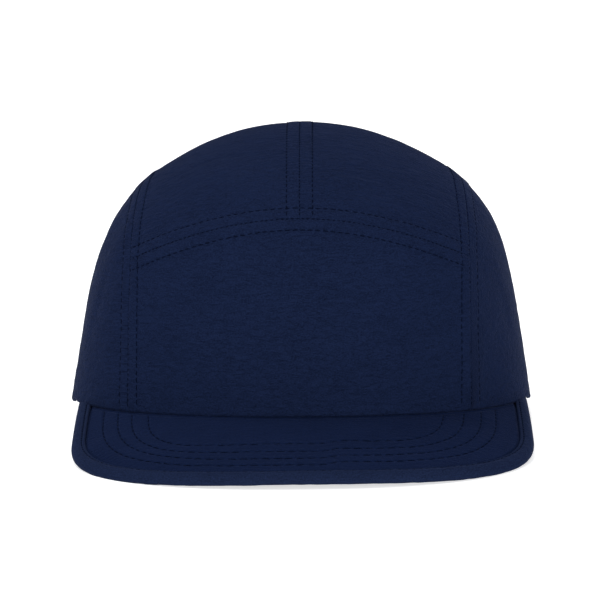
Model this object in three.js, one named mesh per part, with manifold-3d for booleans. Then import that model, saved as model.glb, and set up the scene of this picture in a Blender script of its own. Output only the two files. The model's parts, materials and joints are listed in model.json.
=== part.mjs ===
// A five panel cap of thin woven cloth with a short, flat-cut peak, as a three.js scene graph.
// Millimetres, +Z up. The cap faces -Y, and left and right are the wearer's, so left is +X.
// The cap stands on a flat surface as it would by itself: on the rim at the back and on the
// front edge of the peak, which tips the rim up a little at the front.

import * as THREE from "three";
import { mergeVertices } from "three/addons/utils/BufferGeometryUtils.js";
import Module from "manifold-3d";

const wasm = await Module();
wasm.setup();

// Sizes of the crown, from the upright axis through its top and from the peak's seam up.
const CROWN_WIDTH = 175.6;
const CROWN_FRONT = 99;
const CROWN_BACK = 94;
const CROWN_HEIGHT = 103;
const PANEL_CLOTH = 1.5;
const HEM_RADIUS = 0.7;

// The rim rises a little over the forehead, and hangs lower behind the ends of the peak.
const RIM_RISE = 1;
const RIM_DROP = 3;
const RIM_DROP_BEHIND = 3;
const RIM_DROP_RUN = 18;

// Half the width between the two long seams, at the front rim, at the top and at the back rim.
const SEAM_HALF_FRONT = 64.4;
const SEAM_HALF_TOP = 62.4;
const SEAM_HALF_BACK = 54;

// The curved seam over the front panel: its height in the middle and at the long seams.
const ARCH_MIDDLE = 72;
const ARCH_SIDE = 55;

// The opening at the back, over the strap.
const OPENING_HALF_WIDTH = 38;
const OPENING_HEIGHT = 40;

// The peak: how far it reaches past the crown, how far its widest place lies behind the crown's
// front, how far its sides stay inside the crown's width, and how steeply it falls away.
const PEAK_REACH = 56.6;
const PEAK_WIDEST_BEHIND = 11.4;
const PEAK_SIDE_INSET = 2.6;
const PEAK_SIDE_TAPER = 1.5;
const PEAK_CORNERS = 2.28;
const PEAK_DROOP_FRONT = 15.5;
const PEAK_DROOP_SIDE = 28;
const PEAK_DROOP_SIDE_AT = 75;
const PEAK_THICKNESS = 3.2;
const PEAK_BOARD_EDGE = 1;

// The folded tape round the edge of the peak.
const BINDING_WIDTH = 4.8;
const BINDING_CLOTH = 1;
const BINDING_LEAST_WIDTH = 2;

// The band inside the rim, and the strap and its slide at the back.
const BAND_HEIGHT = 30;
const BAND_CLOTH = 1.5;
const STRAP_WIDTH = 19;
const STRAP_CLOTH = 1.4;
const STRAP_OVERLAP = 18;
const SLIDE_ABOVE_RIM = 1;
const SLIDE_LENGTH = 27;
const SLIDE_THICKNESS = 2.2;
const SLIDE_RAIL = 2.8;
const SLIDE_BAR = 3.4;
const SLIDE_CORNER = 3;

// The clearance between pieces that are sewn or laid together.
const GAP = 0.3;

// How finely the cloth is divided into facets.
const CROWN_SIDES = 64;
const RINGS_PER_SECTION = 2;
const PEAK_STATIONS = 52;
const BAND_STATIONS = 56;
const STRAP_STATIONS = 44;
const OUTLINE_STEPS = 240;

// Level sections of the crown from the rim to the top. Height is a share of CROWN_HEIGHT, width
// of half CROWN_WIDTH, front of CROWN_FRONT and back of CROWN_BACK. A squareness of 2 is an
// ellipse, and more is fuller at the corners.
const CROWN_SECTIONS = [
  { height: 0, width: 1, front: 1, back: 1, squareness: 2.24 },
  { height: 0.194, width: 0.962, front: 0.975, back: 0.997, squareness: 2.24 },
  { height: 0.388, width: 0.923, front: 0.938, back: 0.985, squareness: 2.24 },
  { height: 0.563, width: 0.867, front: 0.892, back: 0.948, squareness: 2.22 },
  { height: 0.69, width: 0.791, front: 0.826, back: 0.878, squareness: 2.18 },
  { height: 0.796, width: 0.68, front: 0.724, back: 0.765, squareness: 2.12 },
  { height: 0.874, width: 0.544, front: 0.594, back: 0.618, squareness: 2.06 },
  { height: 0.937, width: 0.388, front: 0.432, back: 0.448, squareness: 2.02 },
  { height: 0.981, width: 0.218, front: 0.25, back: 0.26, squareness: 2 },
  { height: 1, width: 0, front: 0, back: 0, squareness: 2 },
];

const NAVY_CLOTH = new THREE.MeshStandardMaterial({ color: 0x182340, roughness: 0.62, metalness: 0 });
const NAVY_BAND = new THREE.MeshStandardMaterial({ color: 0x151e36, roughness: 0.85, metalness: 0 });
const NAVY_STRAP = new THREE.MeshStandardMaterial({ color: 0x161f38, roughness: 0.75, metalness: 0 });
const DARK_PLASTIC = new THREE.MeshStandardMaterial({ color: 0x10141f, roughness: 0.42, metalness: 0 });

const halfWidth = CROWN_WIDTH / 2;
// How far the inner face of the band lies inside the crown's outer face.
const wallAndBand = PANEL_CLOTH + GAP + BAND_CLOTH;
// How far the binding stands over the peak's faces.
const bindingProud = BINDING_CLOTH + GAP - (PEAK_THICKNESS - PEAK_BOARD_EDGE) / 2;
const lastSection = CROWN_SECTIONS.length - 1;
const power = (value, exponent) => Math.sign(value) * Math.abs(value) ** exponent;
const smooth = (share) => {
  const s = Math.min(1, Math.max(0, share));
  return s * s * (3 - 2 * s);
};
const mix = (a, b, share) => a + (b - a) * share;

// Section number i of the table. Past the top the crown comes down again on the other side, and
// below the rim it goes straight on.
function tableRow(i, column) {
  if (i < 0) return 2 * CROWN_SECTIONS[0][column] - CROWN_SECTIONS[-i][column];
  if (i <= lastSection) return CROWN_SECTIONS[i][column];
  const mirrored = CROWN_SECTIONS[2 * lastSection - i][column];
  return column === "height" || column === "squareness" ? mirrored : -mirrored;
}

// One column of the table at any place along it, on a smooth curve through the sections.
function tableValue(place, column) {
  const i = Math.min(lastSection - 1, Math.max(0, Math.floor(place)));
  const t = place - i;
  const [a, b, c, d] = [i - 1, i, i + 1, i + 2].map((row) => tableRow(row, column));
  const curve = 2 * a - 5 * b + 4 * c - d;
  return b + 0.5 * t * (c - a + t * (curve + t * (3 * (b - c) + d - a)));
}

// The level outline of the crown at a place along the table: its height, half width, half length,
// middle and squareness.
function crownSection(place) {
  const front = CROWN_FRONT * tableValue(place, "front");
  const back = CROWN_BACK * tableValue(place, "back");
  return {
    height: CROWN_HEIGHT * tableValue(place, "height"),
    halfWidth: halfWidth * tableValue(place, "width"),
    halfLength: (front + back) / 2,
    middle: (back - front) / 2,
    squareness: tableValue(place, "squareness"),
  };
}

// The height at a place along the table over a rim of a given height. What the rim rises or drops
// dies out over the first section.
function heightAt(place, rim) {
  return crownSection(place).height + rim * (1 - smooth(place));
}

// The place along the table where the crown has a given height.
function placeAtHeight(height, rim = 0) {
  let [low, high] = [-1, lastSection];
  for (let step = 0; step < 40; step += 1) {
    const tried = (low + high) / 2;
    if (heightAt(tried, rim) < height) low = tried;
    else high = tried;
  }
  return (low + high) / 2;
}

// A point on a level outline, inset from it, at an angle round from the front towards +X.
function outlinePoint(section, angle, inset = 0) {
  const { halfLength, middle, squareness: n } = section;
  const across = power(Math.sin(angle), 2 / n);
  const ahead = power(Math.cos(angle), 2 / n);
  const normal = new THREE.Vector2(
    power(across, n - 1) / section.halfWidth,
    -power(ahead, n - 1) / halfLength,
  ).normalize();
  return new THREE.Vector2(
    section.halfWidth * across - inset * normal.x,
    middle - halfLength * ahead - inset * normal.y,
  );
}

const rimSection = crownSection(0);

// The plan of the peak's outer edge, from its right end round the front to its left end: a full
// curve in front of the widest place, and sides that close in a little towards the crown.
function peakEdgePlan() {
  const widest = halfWidth - PEAK_SIDE_INSET;
  const widestY = PEAK_WIDEST_BEHIND - CROWN_FRONT;
  const depth = PEAK_REACH + PEAK_WIDEST_BEHIND;
  const sideLength = -widestY;
  const half = [];
  for (let i = 0; i <= OUTLINE_STEPS; i += 1) {
    const angle = (i / OUTLINE_STEPS) * (Math.PI / 2);
    const across = power(Math.sin(angle), 2 / PEAK_CORNERS);
    const ahead = power(Math.cos(angle), 2 / PEAK_CORNERS);
    half.push(new THREE.Vector2(widest * across, widestY - depth * ahead));
  }
  for (let i = 1; i <= OUTLINE_STEPS; i += 1) {
    const share = i / OUTLINE_STEPS;
    const point = new THREE.Vector2(widest - PEAK_SIDE_TAPER * share ** 2, widestY + sideLength * share);
    if (depthInsideBand(point) > -BINDING_LEAST_WIDTH - 2 * GAP) break;
    half.push(point);
  }
  const other = half.slice(1).reverse().map((p) => new THREE.Vector2(-p.x, p.y));
  return [...other, ...half];
}

// The foot of a plan point on the rim: the nearest place on the rim's outline, as its angle and
// the distance to it, which is negative inside the rim.
function footOnRim(point) {
  const distance = (angle) => outlinePoint(rimSection, angle).distanceTo(point);
  const count = 180;
  let best = 0;
  for (let i = -count; i <= count; i += 1) {
    const angle = (i / count) * Math.PI;
    if (distance(angle) < distance(best)) best = angle;
  }
  let step = Math.PI / count;
  while (step > 1e-7) {
    if (distance(best + step) < distance(best)) best += step;
    else if (distance(best - step) < distance(best)) best -= step;
    else step /= 2;
  }
  const { squareness: n, halfLength, middle } = rimSection;
  const fullness = Math.abs(point.x / halfWidth) ** n + Math.abs((point.y - middle) / halfLength) ** n;
  return { angle: best, distance: fullness < 1 ? -distance(best) : distance(best) };
}

// How far a plan point lies inside the inner face of the band. It is negative outside that face.
function depthInsideBand(point) {
  return -footOnRim(point).distance - wallAndBand;
}

// The height of the peak's upper face over a plan point. The peak falls away from the rim, more
// steeply at its sides, and lies close under the crown's wall.
function peakTop(point) {
  const foot = footOnRim(point);
  const aside = Math.abs(foot.angle) / THREE.MathUtils.degToRad(PEAK_DROOP_SIDE_AT);
  const droop = mix(PEAK_DROOP_FRONT, PEAK_DROOP_SIDE, Math.min(1, aside) ** 2);
  const seat = rimHeight(foot.angle) - GAP - Math.max(0, bindingProud);
  return seat - Math.tan(THREE.MathUtils.degToRad(droop)) * Math.max(0, foot.distance);
}

// The same line again with a number of points spread evenly along it.
function resample(points, count) {
  const along = [0];
  for (let i = 1; i < points.length; i += 1) {
    along.push(along[i - 1] + points[i].distanceTo(points[i - 1]));
  }
  let at = 0;
  return Array.from({ length: count }, (_, k) => {
    const wanted = (along[along.length - 1] * k) / (count - 1);
    while (at < points.length - 2 && along[at + 1] < wanted) at += 1;
    const share = (wanted - along[at]) / (along[at + 1] - along[at]);
    return points[at].clone().lerp(points[at + 1], share);
  });
}

const peakEdge = resample(peakEdgePlan(), PEAK_STATIONS + 1);
const peakEndAngle = footOnRim(peakEdge[PEAK_STATIONS]).angle;

// The height of the rim at an angle round from the front.
function rimHeight(angle) {
  const rise = RIM_RISE * Math.max(0, Math.cos(angle)) ** 2;
  const turn = Math.abs(Math.atan2(Math.sin(angle), Math.cos(angle)));
  const behindPeak = (turn - peakEndAngle) * halfWidth;
  return rise - RIM_DROP * smooth((behindPeak - RIM_DROP_BEHIND) / RIM_DROP_RUN);
}

// A point on the crown's outer face.
function crownPoint(place, angle) {
  const plan = outlinePoint(crownSection(place), angle);
  return new THREE.Vector3(plan.x, plan.y, heightAt(place, rimHeight(angle)));
}

// The direction out of the cloth at a point on the crown. It is level at the rim, so that the
// rim's lower edge is too.
function crownNormal(place, angle) {
  if (place >= lastSection) return new THREE.Vector3(0, 0, 1);
  const step = 0.02;
  const up = crownPoint(place + step, angle).sub(crownPoint(Math.max(0, place - step), angle));
  const round = crownPoint(place, angle + step).sub(crownPoint(place, angle - step));
  const normal = round.cross(up).normalize();
  normal.z *= smooth(place);
  return normal.normalize();
}

// A solid from a list of points and triangles, turned so that its faces point out.
function solidFrom(points, triangles) {
  const [ab, ac] = [new THREE.Vector3(), new THREE.Vector3()];
  const volume = triangles.reduce((sum, [a, b, c]) => {
    ab.copy(points[b]);
    ac.copy(points[c]);
    return sum + points[a].dot(ab.cross(ac));
  }, 0);
  const facing = volume < 0 ? triangles.map(([a, b, c]) => [a, c, b]) : triangles;
  const geometry = new THREE.BufferGeometry().setFromPoints(points);
  geometry.setIndex(facing.flat());
  return solidOf(geometry);
}

// A three.js geometry as a manifold-3d solid.
function solidOf(geometry) {
  const bare = geometry.clone();
  bare.deleteAttribute("normal");
  bare.deleteAttribute("uv");
  const merged = mergeVertices(bare, 1e-4);
  return new wasm.Manifold(
    new wasm.Mesh({
      numProp: 3,
      vertProperties: new Float32Array(merged.attributes.position.array),
      triVerts: new Uint32Array(merged.index.array),
    }),
  );
}

// A named mesh from a manifold-3d solid.
function meshOf(name, solid, material) {
  const { numProp, vertProperties, triVerts } = solid.getMesh();
  const positions = new Float32Array((vertProperties.length / numProp) * 3);
  for (let i = 0; i < positions.length / 3; i += 1) {
    positions.set(vertProperties.subarray(i * numProp, i * numProp + 3), i * 3);
  }
  const geometry = new THREE.BufferGeometry();
  geometry.setAttribute("position", new THREE.BufferAttribute(positions, 3));
  geometry.setIndex(new THREE.BufferAttribute(new Uint32Array(triVerts), 1));
  geometry.computeVertexNormals();
  const mesh = new THREE.Mesh(geometry, material);
  mesh.name = name;
  return mesh;
}

// A solid swept through stations that each hold the same closed profile. The profile's flat
// shape, as 2-D points at both ends, says how the two ends are closed. Each face is folded along
// its higher diagonal, so that faces that lie on each other stay parallel.
function loft(stations, firstFlat, lastFlat) {
  const size = stations[0].length;
  const triangles = [];
  for (let s = 0; s < stations.length - 1; s += 1) {
    for (let k = 0; k < size; k += 1) {
      const next = (k + 1) % size;
      const [here, there] = [stations[s], stations[s + 1]];
      const [a, b] = [s * size + k, s * size + next];
      const forward = here[k].z + there[next].z > here[next].z + there[k].z;
      if (forward) triangles.push([a, b, b + size], [a, b + size, a + size]);
      else triangles.push([a, b, a + size], [b, b + size, a + size]);
    }
  }
  const ends = [
    { flat: firstFlat, start: 0, turned: true },
    { flat: lastFlat, start: (stations.length - 1) * size, turned: false },
  ];
  for (const { flat, start, turned } of ends) {
    const clockwise = THREE.ShapeUtils.isClockWise(flat);
    for (const [a, b, c] of THREE.ShapeUtils.triangulateShape(flat, [])) {
      const flipped = clockwise === turned;
      triangles.push(flipped ? [start + a, start + b, start + c] : [start + a, start + c, start + b]);
    }
  }
  return solidFrom(stations.flat(), triangles);
}

// The whole crown as one hollow shell, open at the rim, with a rounded lower edge.
function crownShell() {
  const hem = [0, 0.5, 1].map((share) => {
    const turn = (share * Math.PI) / 2;
    return { place: placeAtHeight(HEM_RADIUS * (1 - Math.cos(turn))), inset: HEM_RADIUS * (1 - Math.sin(turn)) };
  });
  const rings = [...hem];
  for (let i = 1; i < lastSection * RINGS_PER_SECTION; i += 1) {
    rings.push({ place: i / RINGS_PER_SECTION, inset: 0 });
  }
  const points = [];
  const outer = [];
  const inner = [];
  for (const { place, inset } of rings) {
    const [outerRing, innerRing] = [[], []];
    for (let j = 0; j < CROWN_SIDES; j += 1) {
      const angle = (j / CROWN_SIDES) * 2 * Math.PI;
      const [point, normal] = [crownPoint(place, angle), crownNormal(place, angle)];
      outerRing.push(points.push(point.clone().addScaledVector(normal, -inset)) - 1);
      innerRing.push(points.push(point.addScaledVector(normal, -PANEL_CLOTH)) - 1);
    }
    outer.push(outerRing);
    inner.push(innerRing);
  }
  const triangles = [];
  const band = (lower, upper) => {
    for (let j = 0; j < CROWN_SIDES; j += 1) {
      const next = (j + 1) % CROWN_SIDES;
      triangles.push([lower[j], lower[next], upper[next]], [lower[j], upper[next], upper[j]]);
    }
  };
  for (let i = 0; i < rings.length - 1; i += 1) {
    band(outer[i], outer[i + 1]);
    band(inner[i + 1], inner[i]);
  }
  band(inner[0], outer[0]);
  const apex = points.push(new THREE.Vector3(0, 0, CROWN_HEIGHT)) - 1;
  const innerApex = points.push(new THREE.Vector3(0, 0, CROWN_HEIGHT - PANEL_CLOTH)) - 1;
  const [topRing, innerTopRing] = [outer.at(-1), inner.at(-1)];
  for (let j = 0; j < CROWN_SIDES; j += 1) {
    const next = (j + 1) % CROWN_SIDES;
    triangles.push([topRing[j], topRing[next], apex], [innerTopRing[next], innerTopRing[j], innerApex]);
  }
  return solidFrom(points, triangles);
}

// Half the width between the long seams at a distance along the cap, on a smooth curve through
// the three named widths.
function seamHalf(y) {
  const [frontY, backY] = [-CROWN_FRONT * 0.72, CROWN_BACK * 0.8];
  const atFront = (y * (y - backY)) / (frontY * (frontY - backY));
  const atTop = ((y - frontY) * (y - backY)) / (frontY * backY);
  const atBack = (y * (y - frontY)) / (backY * (backY - frontY));
  return SEAM_HALF_FRONT * atFront + SEAM_HALF_TOP * atTop + SEAM_HALF_BACK * atBack;
}

// How far the cutting solids reach past the crown on every side.
const BEYOND = 30;

// The upright block between the two long seams, made wider or narrower by a margin.
function stripBlock(margin) {
  const [from, to] = [-CROWN_FRONT - BEYOND, CROWN_BACK + BEYOND];
  const steps = 12;
  const side = Array.from({ length: steps + 1 }, (_, i) => {
    const y = mix(from, to, i / steps);
    return new THREE.Vector2(seamHalf(y) + margin, y);
  });
  const other = side.map((p) => new THREE.Vector2(-p.x, p.y)).reverse();
  const plan = new THREE.Shape([...side, ...other]);
  const tall = CROWN_HEIGHT + 2 * BEYOND;
  const block = new THREE.ExtrudeGeometry(plan, { depth: tall, bevelEnabled: false });
  return solidOf(block.translate(0, 0, -BEYOND));
}

// The block in front of the crown's axis that lies under the curved seam, raised by a margin.
function underArchBlock(margin) {
  const reach = halfWidth + BEYOND;
  const steps = 20;
  const top = Array.from({ length: steps + 1 }, (_, i) => {
    const x = mix(reach, -reach, i / steps);
    const fall = (ARCH_MIDDLE - ARCH_SIDE) * (x / SEAM_HALF_FRONT) ** 2;
    return new THREE.Vector2(x, Math.max(-BEYOND / 2, ARCH_MIDDLE - fall + margin));
  });
  const face = new THREE.Shape([new THREE.Vector2(-reach, -BEYOND), new THREE.Vector2(reach, -BEYOND), ...top]);
  const block = new THREE.ExtrudeGeometry(face, { depth: CROWN_FRONT + BEYOND, bevelEnabled: false });
  return solidOf(block.rotateX(Math.PI / 2));
}

// The block that cuts the opening at the back: upright sides and a round top.
function backOpeningBlock() {
  const spring = OPENING_HEIGHT / 2;
  const face = new THREE.Shape();
  face.moveTo(OPENING_HALF_WIDTH, -BEYOND);
  face.lineTo(OPENING_HALF_WIDTH, spring);
  face.absellipse(0, spring, OPENING_HALF_WIDTH, OPENING_HEIGHT - spring, 0, Math.PI, false, 0);
  face.lineTo(-OPENING_HALF_WIDTH, -BEYOND);
  const depth = CROWN_BACK + BEYOND;
  const block = new THREE.ExtrudeGeometry(face, { depth, bevelEnabled: false, curveSegments: 14 });
  return solidOf(block.rotateX(Math.PI / 2).translate(0, depth, 0));
}

// The block on one side of the middle plane, kept clear of it by a margin.
function sideBlock(sign, margin) {
  const [wide, long, tall] = [halfWidth + BEYOND, 2 * (CROWN_FRONT + BEYOND), 2 * (CROWN_HEIGHT + BEYOND)];
  const block = new THREE.BoxGeometry(wide, long, tall);
  return solidOf(block.translate(sign * (margin + wide / 2), 0, 0));
}

// The five panels of the crown, cut from the shell along the seams.
function crownPanels() {
  const shell = crownShell();
  const seamMargin = GAP / 2;
  const middle = shell.intersect(stripBlock(-seamMargin)).subtract(backOpeningBlock());
  const sides = shell.subtract(stripBlock(seamMargin));
  const top = middle.subtract(underArchBlock(seamMargin));
  const panels = [meshOf("front_panel", middle.intersect(underArchBlock(-seamMargin)), NAVY_CLOTH)];
  for (const [word, sign] of [["left", 1], ["right", -1]]) {
    panels.push(meshOf(`top_panel_${word}`, top.intersect(sideBlock(sign, seamMargin)), NAVY_CLOTH));
    panels.push(meshOf(`side_panel_${word}`, sides.intersect(sideBlock(sign, 0)), NAVY_CLOTH));
  }
  return panels;
}

// The peak's stations: at each one the outer edge, the direction inwards from it, and the inner
// edge, which lies flush with the inner face of the band.
function peakStations() {
  const innerLine = [];
  for (let i = 0; i <= OUTLINE_STEPS; i += 1) {
    const angle = mix(-peakEndAngle, peakEndAngle, i / OUTLINE_STEPS);
    innerLine.push(outlinePoint(rimSection, angle, wallAndBand));
  }
  const innerEdge = resample(innerLine, PEAK_STATIONS + 1);
  return peakEdge.map((edge, i) => {
    const before = peakEdge[Math.max(0, i - 1)];
    const after = peakEdge[Math.min(PEAK_STATIONS, i + 1)];
    const along = after.clone().sub(before).normalize();
    const inwards = new THREE.Vector2(-along.y, along.x);
    const room = -depthInsideBand(edge) - GAP;
    const binding = Math.min(BINDING_WIDTH, room - GAP);
    return { edge, inwards, inner: innerEdge[i], binding };
  });
}

// Points of a profile across the peak's edge: each is a distance in from the edge and a height
// over the peak's upper face.
function edgeProfile(station, profile) {
  const { edge, inwards } = station;
  return profile.map(([distance, height]) => {
    const plan = edge.clone().addScaledVector(inwards, distance);
    return new THREE.Vector3(plan.x, plan.y, peakTop(plan) + height);
  });
}

// The peak's board in its cloth. Past its full thickness only the board's thin edge goes on into
// the fold of the binding.
function peakSolid(stations) {
  const edgeTop = -(PEAK_THICKNESS - PEAK_BOARD_EDGE) / 2;
  const edgeBottom = edgeTop - PEAK_BOARD_EDGE;
  const profiles = stations.map((station) => {
    const { inner, binding } = station;
    const rim = edgeProfile(station, [
      [binding + GAP, 0],
      [binding + GAP, edgeTop],
      [BINDING_CLOTH + GAP, edgeTop],
      [BINDING_CLOTH + GAP, edgeBottom],
      [binding + GAP, edgeBottom],
      [binding + GAP, -PEAK_THICKNESS],
    ]);
    const outerPlan = new THREE.Vector2(rim[0].x, rim[0].y);
    const underWall = Math.min(0.5, wallAndBand / inner.distanceTo(outerPlan));
    const rows = [0, underWall, mix(underWall, 1, 1 / 3), mix(underWall, 1, 2 / 3)];
    const across = rows.map((share) => {
      const plan = inner.clone().lerp(outerPlan, share);
      return new THREE.Vector3(plan.x, plan.y, peakTop(plan));
    });
    const under = across.map((p) => p.clone().setZ(p.z - PEAK_THICKNESS)).reverse();
    return [...across, ...rim, ...under];
  });
  return loft(profiles, flatProfile(profiles[0]), flatProfile(profiles.at(-1)));
}

// An upright profile laid flat: its distance from its first point, and its height.
function flatProfile(profile) {
  return profile.map((p) => new THREE.Vector2(Math.hypot(p.x - profile[0].x, p.y - profile[0].y), p.z));
}

// The binding: cloth folded round the board's edge, with a rounded outside.
function bindingSolid(stations) {
  const proud = bindingProud;
  const thickness = PEAK_THICKNESS + 2 * proud;
  const radius = thickness / 2;
  const steps = 6;
  const profiles = stations.map((station) => {
    const profile = [[station.binding, proud]];
    for (let i = 0; i <= steps; i += 1) {
      const turn = (i / steps) * Math.PI;
      profile.push([radius * (1 - Math.sin(turn)), proud - radius + radius * Math.cos(turn)]);
    }
    profile.push([station.binding, proud - thickness]);
    profile.push([station.binding, proud - thickness + BINDING_CLOTH]);
    profile.push([BINDING_CLOTH, proud - thickness + BINDING_CLOTH]);
    profile.push([BINDING_CLOTH, proud - BINDING_CLOTH]);
    profile.push([station.binding, proud - BINDING_CLOTH]);
    return { flat: profile.map(([x, y]) => new THREE.Vector2(x, y)), points: edgeProfile(station, profile) };
  });
  return loft(profiles.map((p) => p.points), profiles[0].flat, profiles.at(-1).flat);
}

// A point on the crown's wall at a height, inset level from its outer face.
function wallPoint(height, angle, inset) {
  const plan = outlinePoint(crownSection(placeAtHeight(height, rimHeight(angle))), angle, inset);
  return new THREE.Vector3(plan.x, plan.y, height);
}

// The angle round from the front at which the rim is a given distance across.
function angleAcross(x) {
  const { squareness: n } = rimSection;
  return Math.PI - Math.asin(power(x / halfWidth, n / 2));
}

// The band inside the rim, from one end of the strap round the front to the other.
function bandSolid() {
  const outerInset = PANEL_CLOTH + GAP;
  const end = angleAcross(OPENING_HALF_WIDTH + STRAP_OVERLAP + 2 * GAP);
  const rows = [0, 1 / 3, 2 / 3, 1];
  const stations = [];
  for (let i = 0; i <= BAND_STATIONS; i += 1) {
    const angle = mix(-end, end, i / BAND_STATIONS);
    const heights = rows.map((share) => mix(rimHeight(angle), BAND_HEIGHT, share));
    const outer = heights.map((height) => wallPoint(height, angle, outerInset));
    const inner = heights.map((height) => wallPoint(height, angle, outerInset + BAND_CLOTH));
    stations.push([...outer, ...inner.reverse()]);
  }
  const flat = [...rows.map((z) => new THREE.Vector2(1, z)), ...rows.map((z) => new THREE.Vector2(0, 1 - z))];
  return loft(stations, flat, flat);
}

// How far in from the wall's outer face the middle of the strap runs at a distance across. It
// lies behind the slide's two rails and comes out over its bar.
function strapInset(x) {
  const flat = PANEL_CLOTH + GAP + STRAP_CLOTH / 2;
  const outwards = SLIDE_THICKNESS + STRAP_CLOTH + 2 * GAP;
  const window = SLIDE_LENGTH / 2 - SLIDE_RAIL;
  const from = SLIDE_BAR / 2 + GAP;
  return flat - outwards * (1 - smooth((Math.abs(x) - from) / (window - from)));
}

// The strap's lower edge, high enough for the slide to clear what the rim stands on.
const strapBottom = SLIDE_ABOVE_RIM + SLIDE_RAIL + GAP - RIM_DROP;

// The strap at the back, with its two ends behind the crown's wall beside the opening.
function strapSolid() {
  const reach = OPENING_HALF_WIDTH + STRAP_OVERLAP;
  const stations = [];
  for (let i = 0; i <= STRAP_STATIONS; i += 1) {
    const x = mix(reach, -reach, smoothStep(i / STRAP_STATIONS));
    const angle = x >= 0 ? angleAcross(x) : -angleAcross(-x);
    const middle = strapInset(x);
    const corner = (height, side) => wallPoint(height, angle, middle + (side * STRAP_CLOTH) / 2);
    const [low, high] = [strapBottom, strapBottom + STRAP_WIDTH];
    stations.push([corner(low, -1), corner(high, -1), corner(high, 1), corner(low, 1)]);
  }
  const flat = [[0, 0], [0, 1], [1, 1], [1, 0]].map(([x, y]) => new THREE.Vector2(x, y));
  return loft(stations, flat, flat);
}

// A share from 0 to 1 that moves slowly in the middle, where the strap bends round the slide.
function smoothStep(share) {
  const s = 2 * share - 1;
  return 0.5 + 0.5 * (0.45 * s + 0.55 * s ** 3);
}

// The slide: a flat frame with a bar across its middle, standing outside the strap's flat part.
function slideSolid() {
  const windowHalfHeight = STRAP_WIDTH / 2 + GAP;
  const [halfX, halfZ] = [SLIDE_LENGTH / 2, windowHalfHeight + SLIDE_RAIL];
  const r = SLIDE_CORNER;
  const outline = new THREE.Shape();
  outline.absarc(halfX - r, halfZ - r, r, 0, Math.PI / 2);
  outline.absarc(r - halfX, halfZ - r, r, Math.PI / 2, Math.PI);
  outline.absarc(r - halfX, r - halfZ, r, Math.PI, 1.5 * Math.PI);
  outline.absarc(halfX - r, r - halfZ, r, 1.5 * Math.PI, 2 * Math.PI);
  const settings = { depth: SLIDE_THICKNESS, bevelEnabled: false, curveSegments: 5 };
  let frame = solidOf(new THREE.ExtrudeGeometry(outline, settings));
  const windowWidth = halfX - SLIDE_RAIL - SLIDE_BAR / 2;
  for (const side of [-1, 1]) {
    const window = new THREE.BoxGeometry(windowWidth, 2 * windowHalfHeight, 4 * SLIDE_THICKNESS);
    frame = frame.subtract(solidOf(window.translate(side * (SLIDE_BAR / 2 + windowWidth / 2), 0, 0)));
  }
  return frame.rotate([90, 0, 0]);
}

// The slide, seated against the strap's outer face and leaning with the crown's wall.
function slideMesh() {
  const low = wallPoint(strapBottom, Math.PI, PANEL_CLOTH);
  const high = wallPoint(strapBottom + STRAP_WIDTH, Math.PI, PANEL_CLOTH);
  const slide = meshOf("strap_slide", slideSolid(), DARK_PLASTIC);
  slide.position.copy(low).lerp(high, 0.5);
  slide.position.y += SLIDE_THICKNESS;
  slide.rotation.x = Math.atan2(low.y - high.y, high.z - low.z);
  return slide;
}

// The angle that the cap tips up at the front when it stands on the rim at the back and on the
// lowest part of the peak's edge.
function restTilt(meshes) {
  const rim = new THREE.Vector3();
  const feet = [];
  for (const mesh of meshes) {
    const { position } = mesh.geometry.attributes;
    mesh.updateMatrixWorld(true);
    for (let i = 0; i < position.count; i += 1) {
      rim.fromBufferAttribute(position, i).applyMatrix4(mesh.matrixWorld);
      feet.push([rim.y, rim.z]);
    }
  }
  const heightAt = (tilt, [y, z]) => z * Math.cos(tilt) - y * Math.sin(tilt);
  const lowest = (tilt, wanted) => Math.min(...feet.filter(wanted).map((foot) => heightAt(tilt, foot)));
  let [low, high] = [0, THREE.MathUtils.degToRad(30)];
  for (let step = 0; step < 40; step += 1) {
    const tilt = (low + high) / 2;
    const ahead = lowest(tilt, ([y]) => y < 0);
    const behind = lowest(tilt, ([y]) => y >= 0);
    if (ahead < behind) low = tilt;
    else high = tilt;
  }
  return (low + high) / 2;
}

function buildCap() {
  const stations = peakStations();
  const meshes = [
    ...crownPanels(),
    meshOf("peak", peakSolid(stations), NAVY_CLOTH),
    meshOf("peak_binding", bindingSolid(stations), NAVY_CLOTH),
    meshOf("sweatband", bandSolid(), NAVY_BAND),
    meshOf("back_strap", strapSolid(), NAVY_STRAP),
    slideMesh(),
  ];
  const tipped = new THREE.Group();
  tipped.rotation.x = -restTilt(meshes);
  tipped.add(...meshes);
  const cap = new THREE.Group();
  cap.add(tipped);
  cap.updateMatrixWorld(true);
  const box = new THREE.Box3().setFromObject(cap, true);
  tipped.position.set(-(box.min.x + box.max.x) / 2, -(box.min.y + box.max.y) / 2, -box.min.z);
  return cap;
}

export default buildCap();
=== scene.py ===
# A five panel cap of thin crinkled nylon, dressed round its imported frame.
# Shapes are worked out in millimetres in the cap's own frame, whose level plane is the seam of the
# peak, and placed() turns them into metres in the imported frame. The cap faces -Y.

import json
import math

import bpy
import numpy as np
from mathutils import Matrix, Vector
from mathutils.bvhtree import BVHTree
from mathutils.kdtree import KDTree


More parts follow.
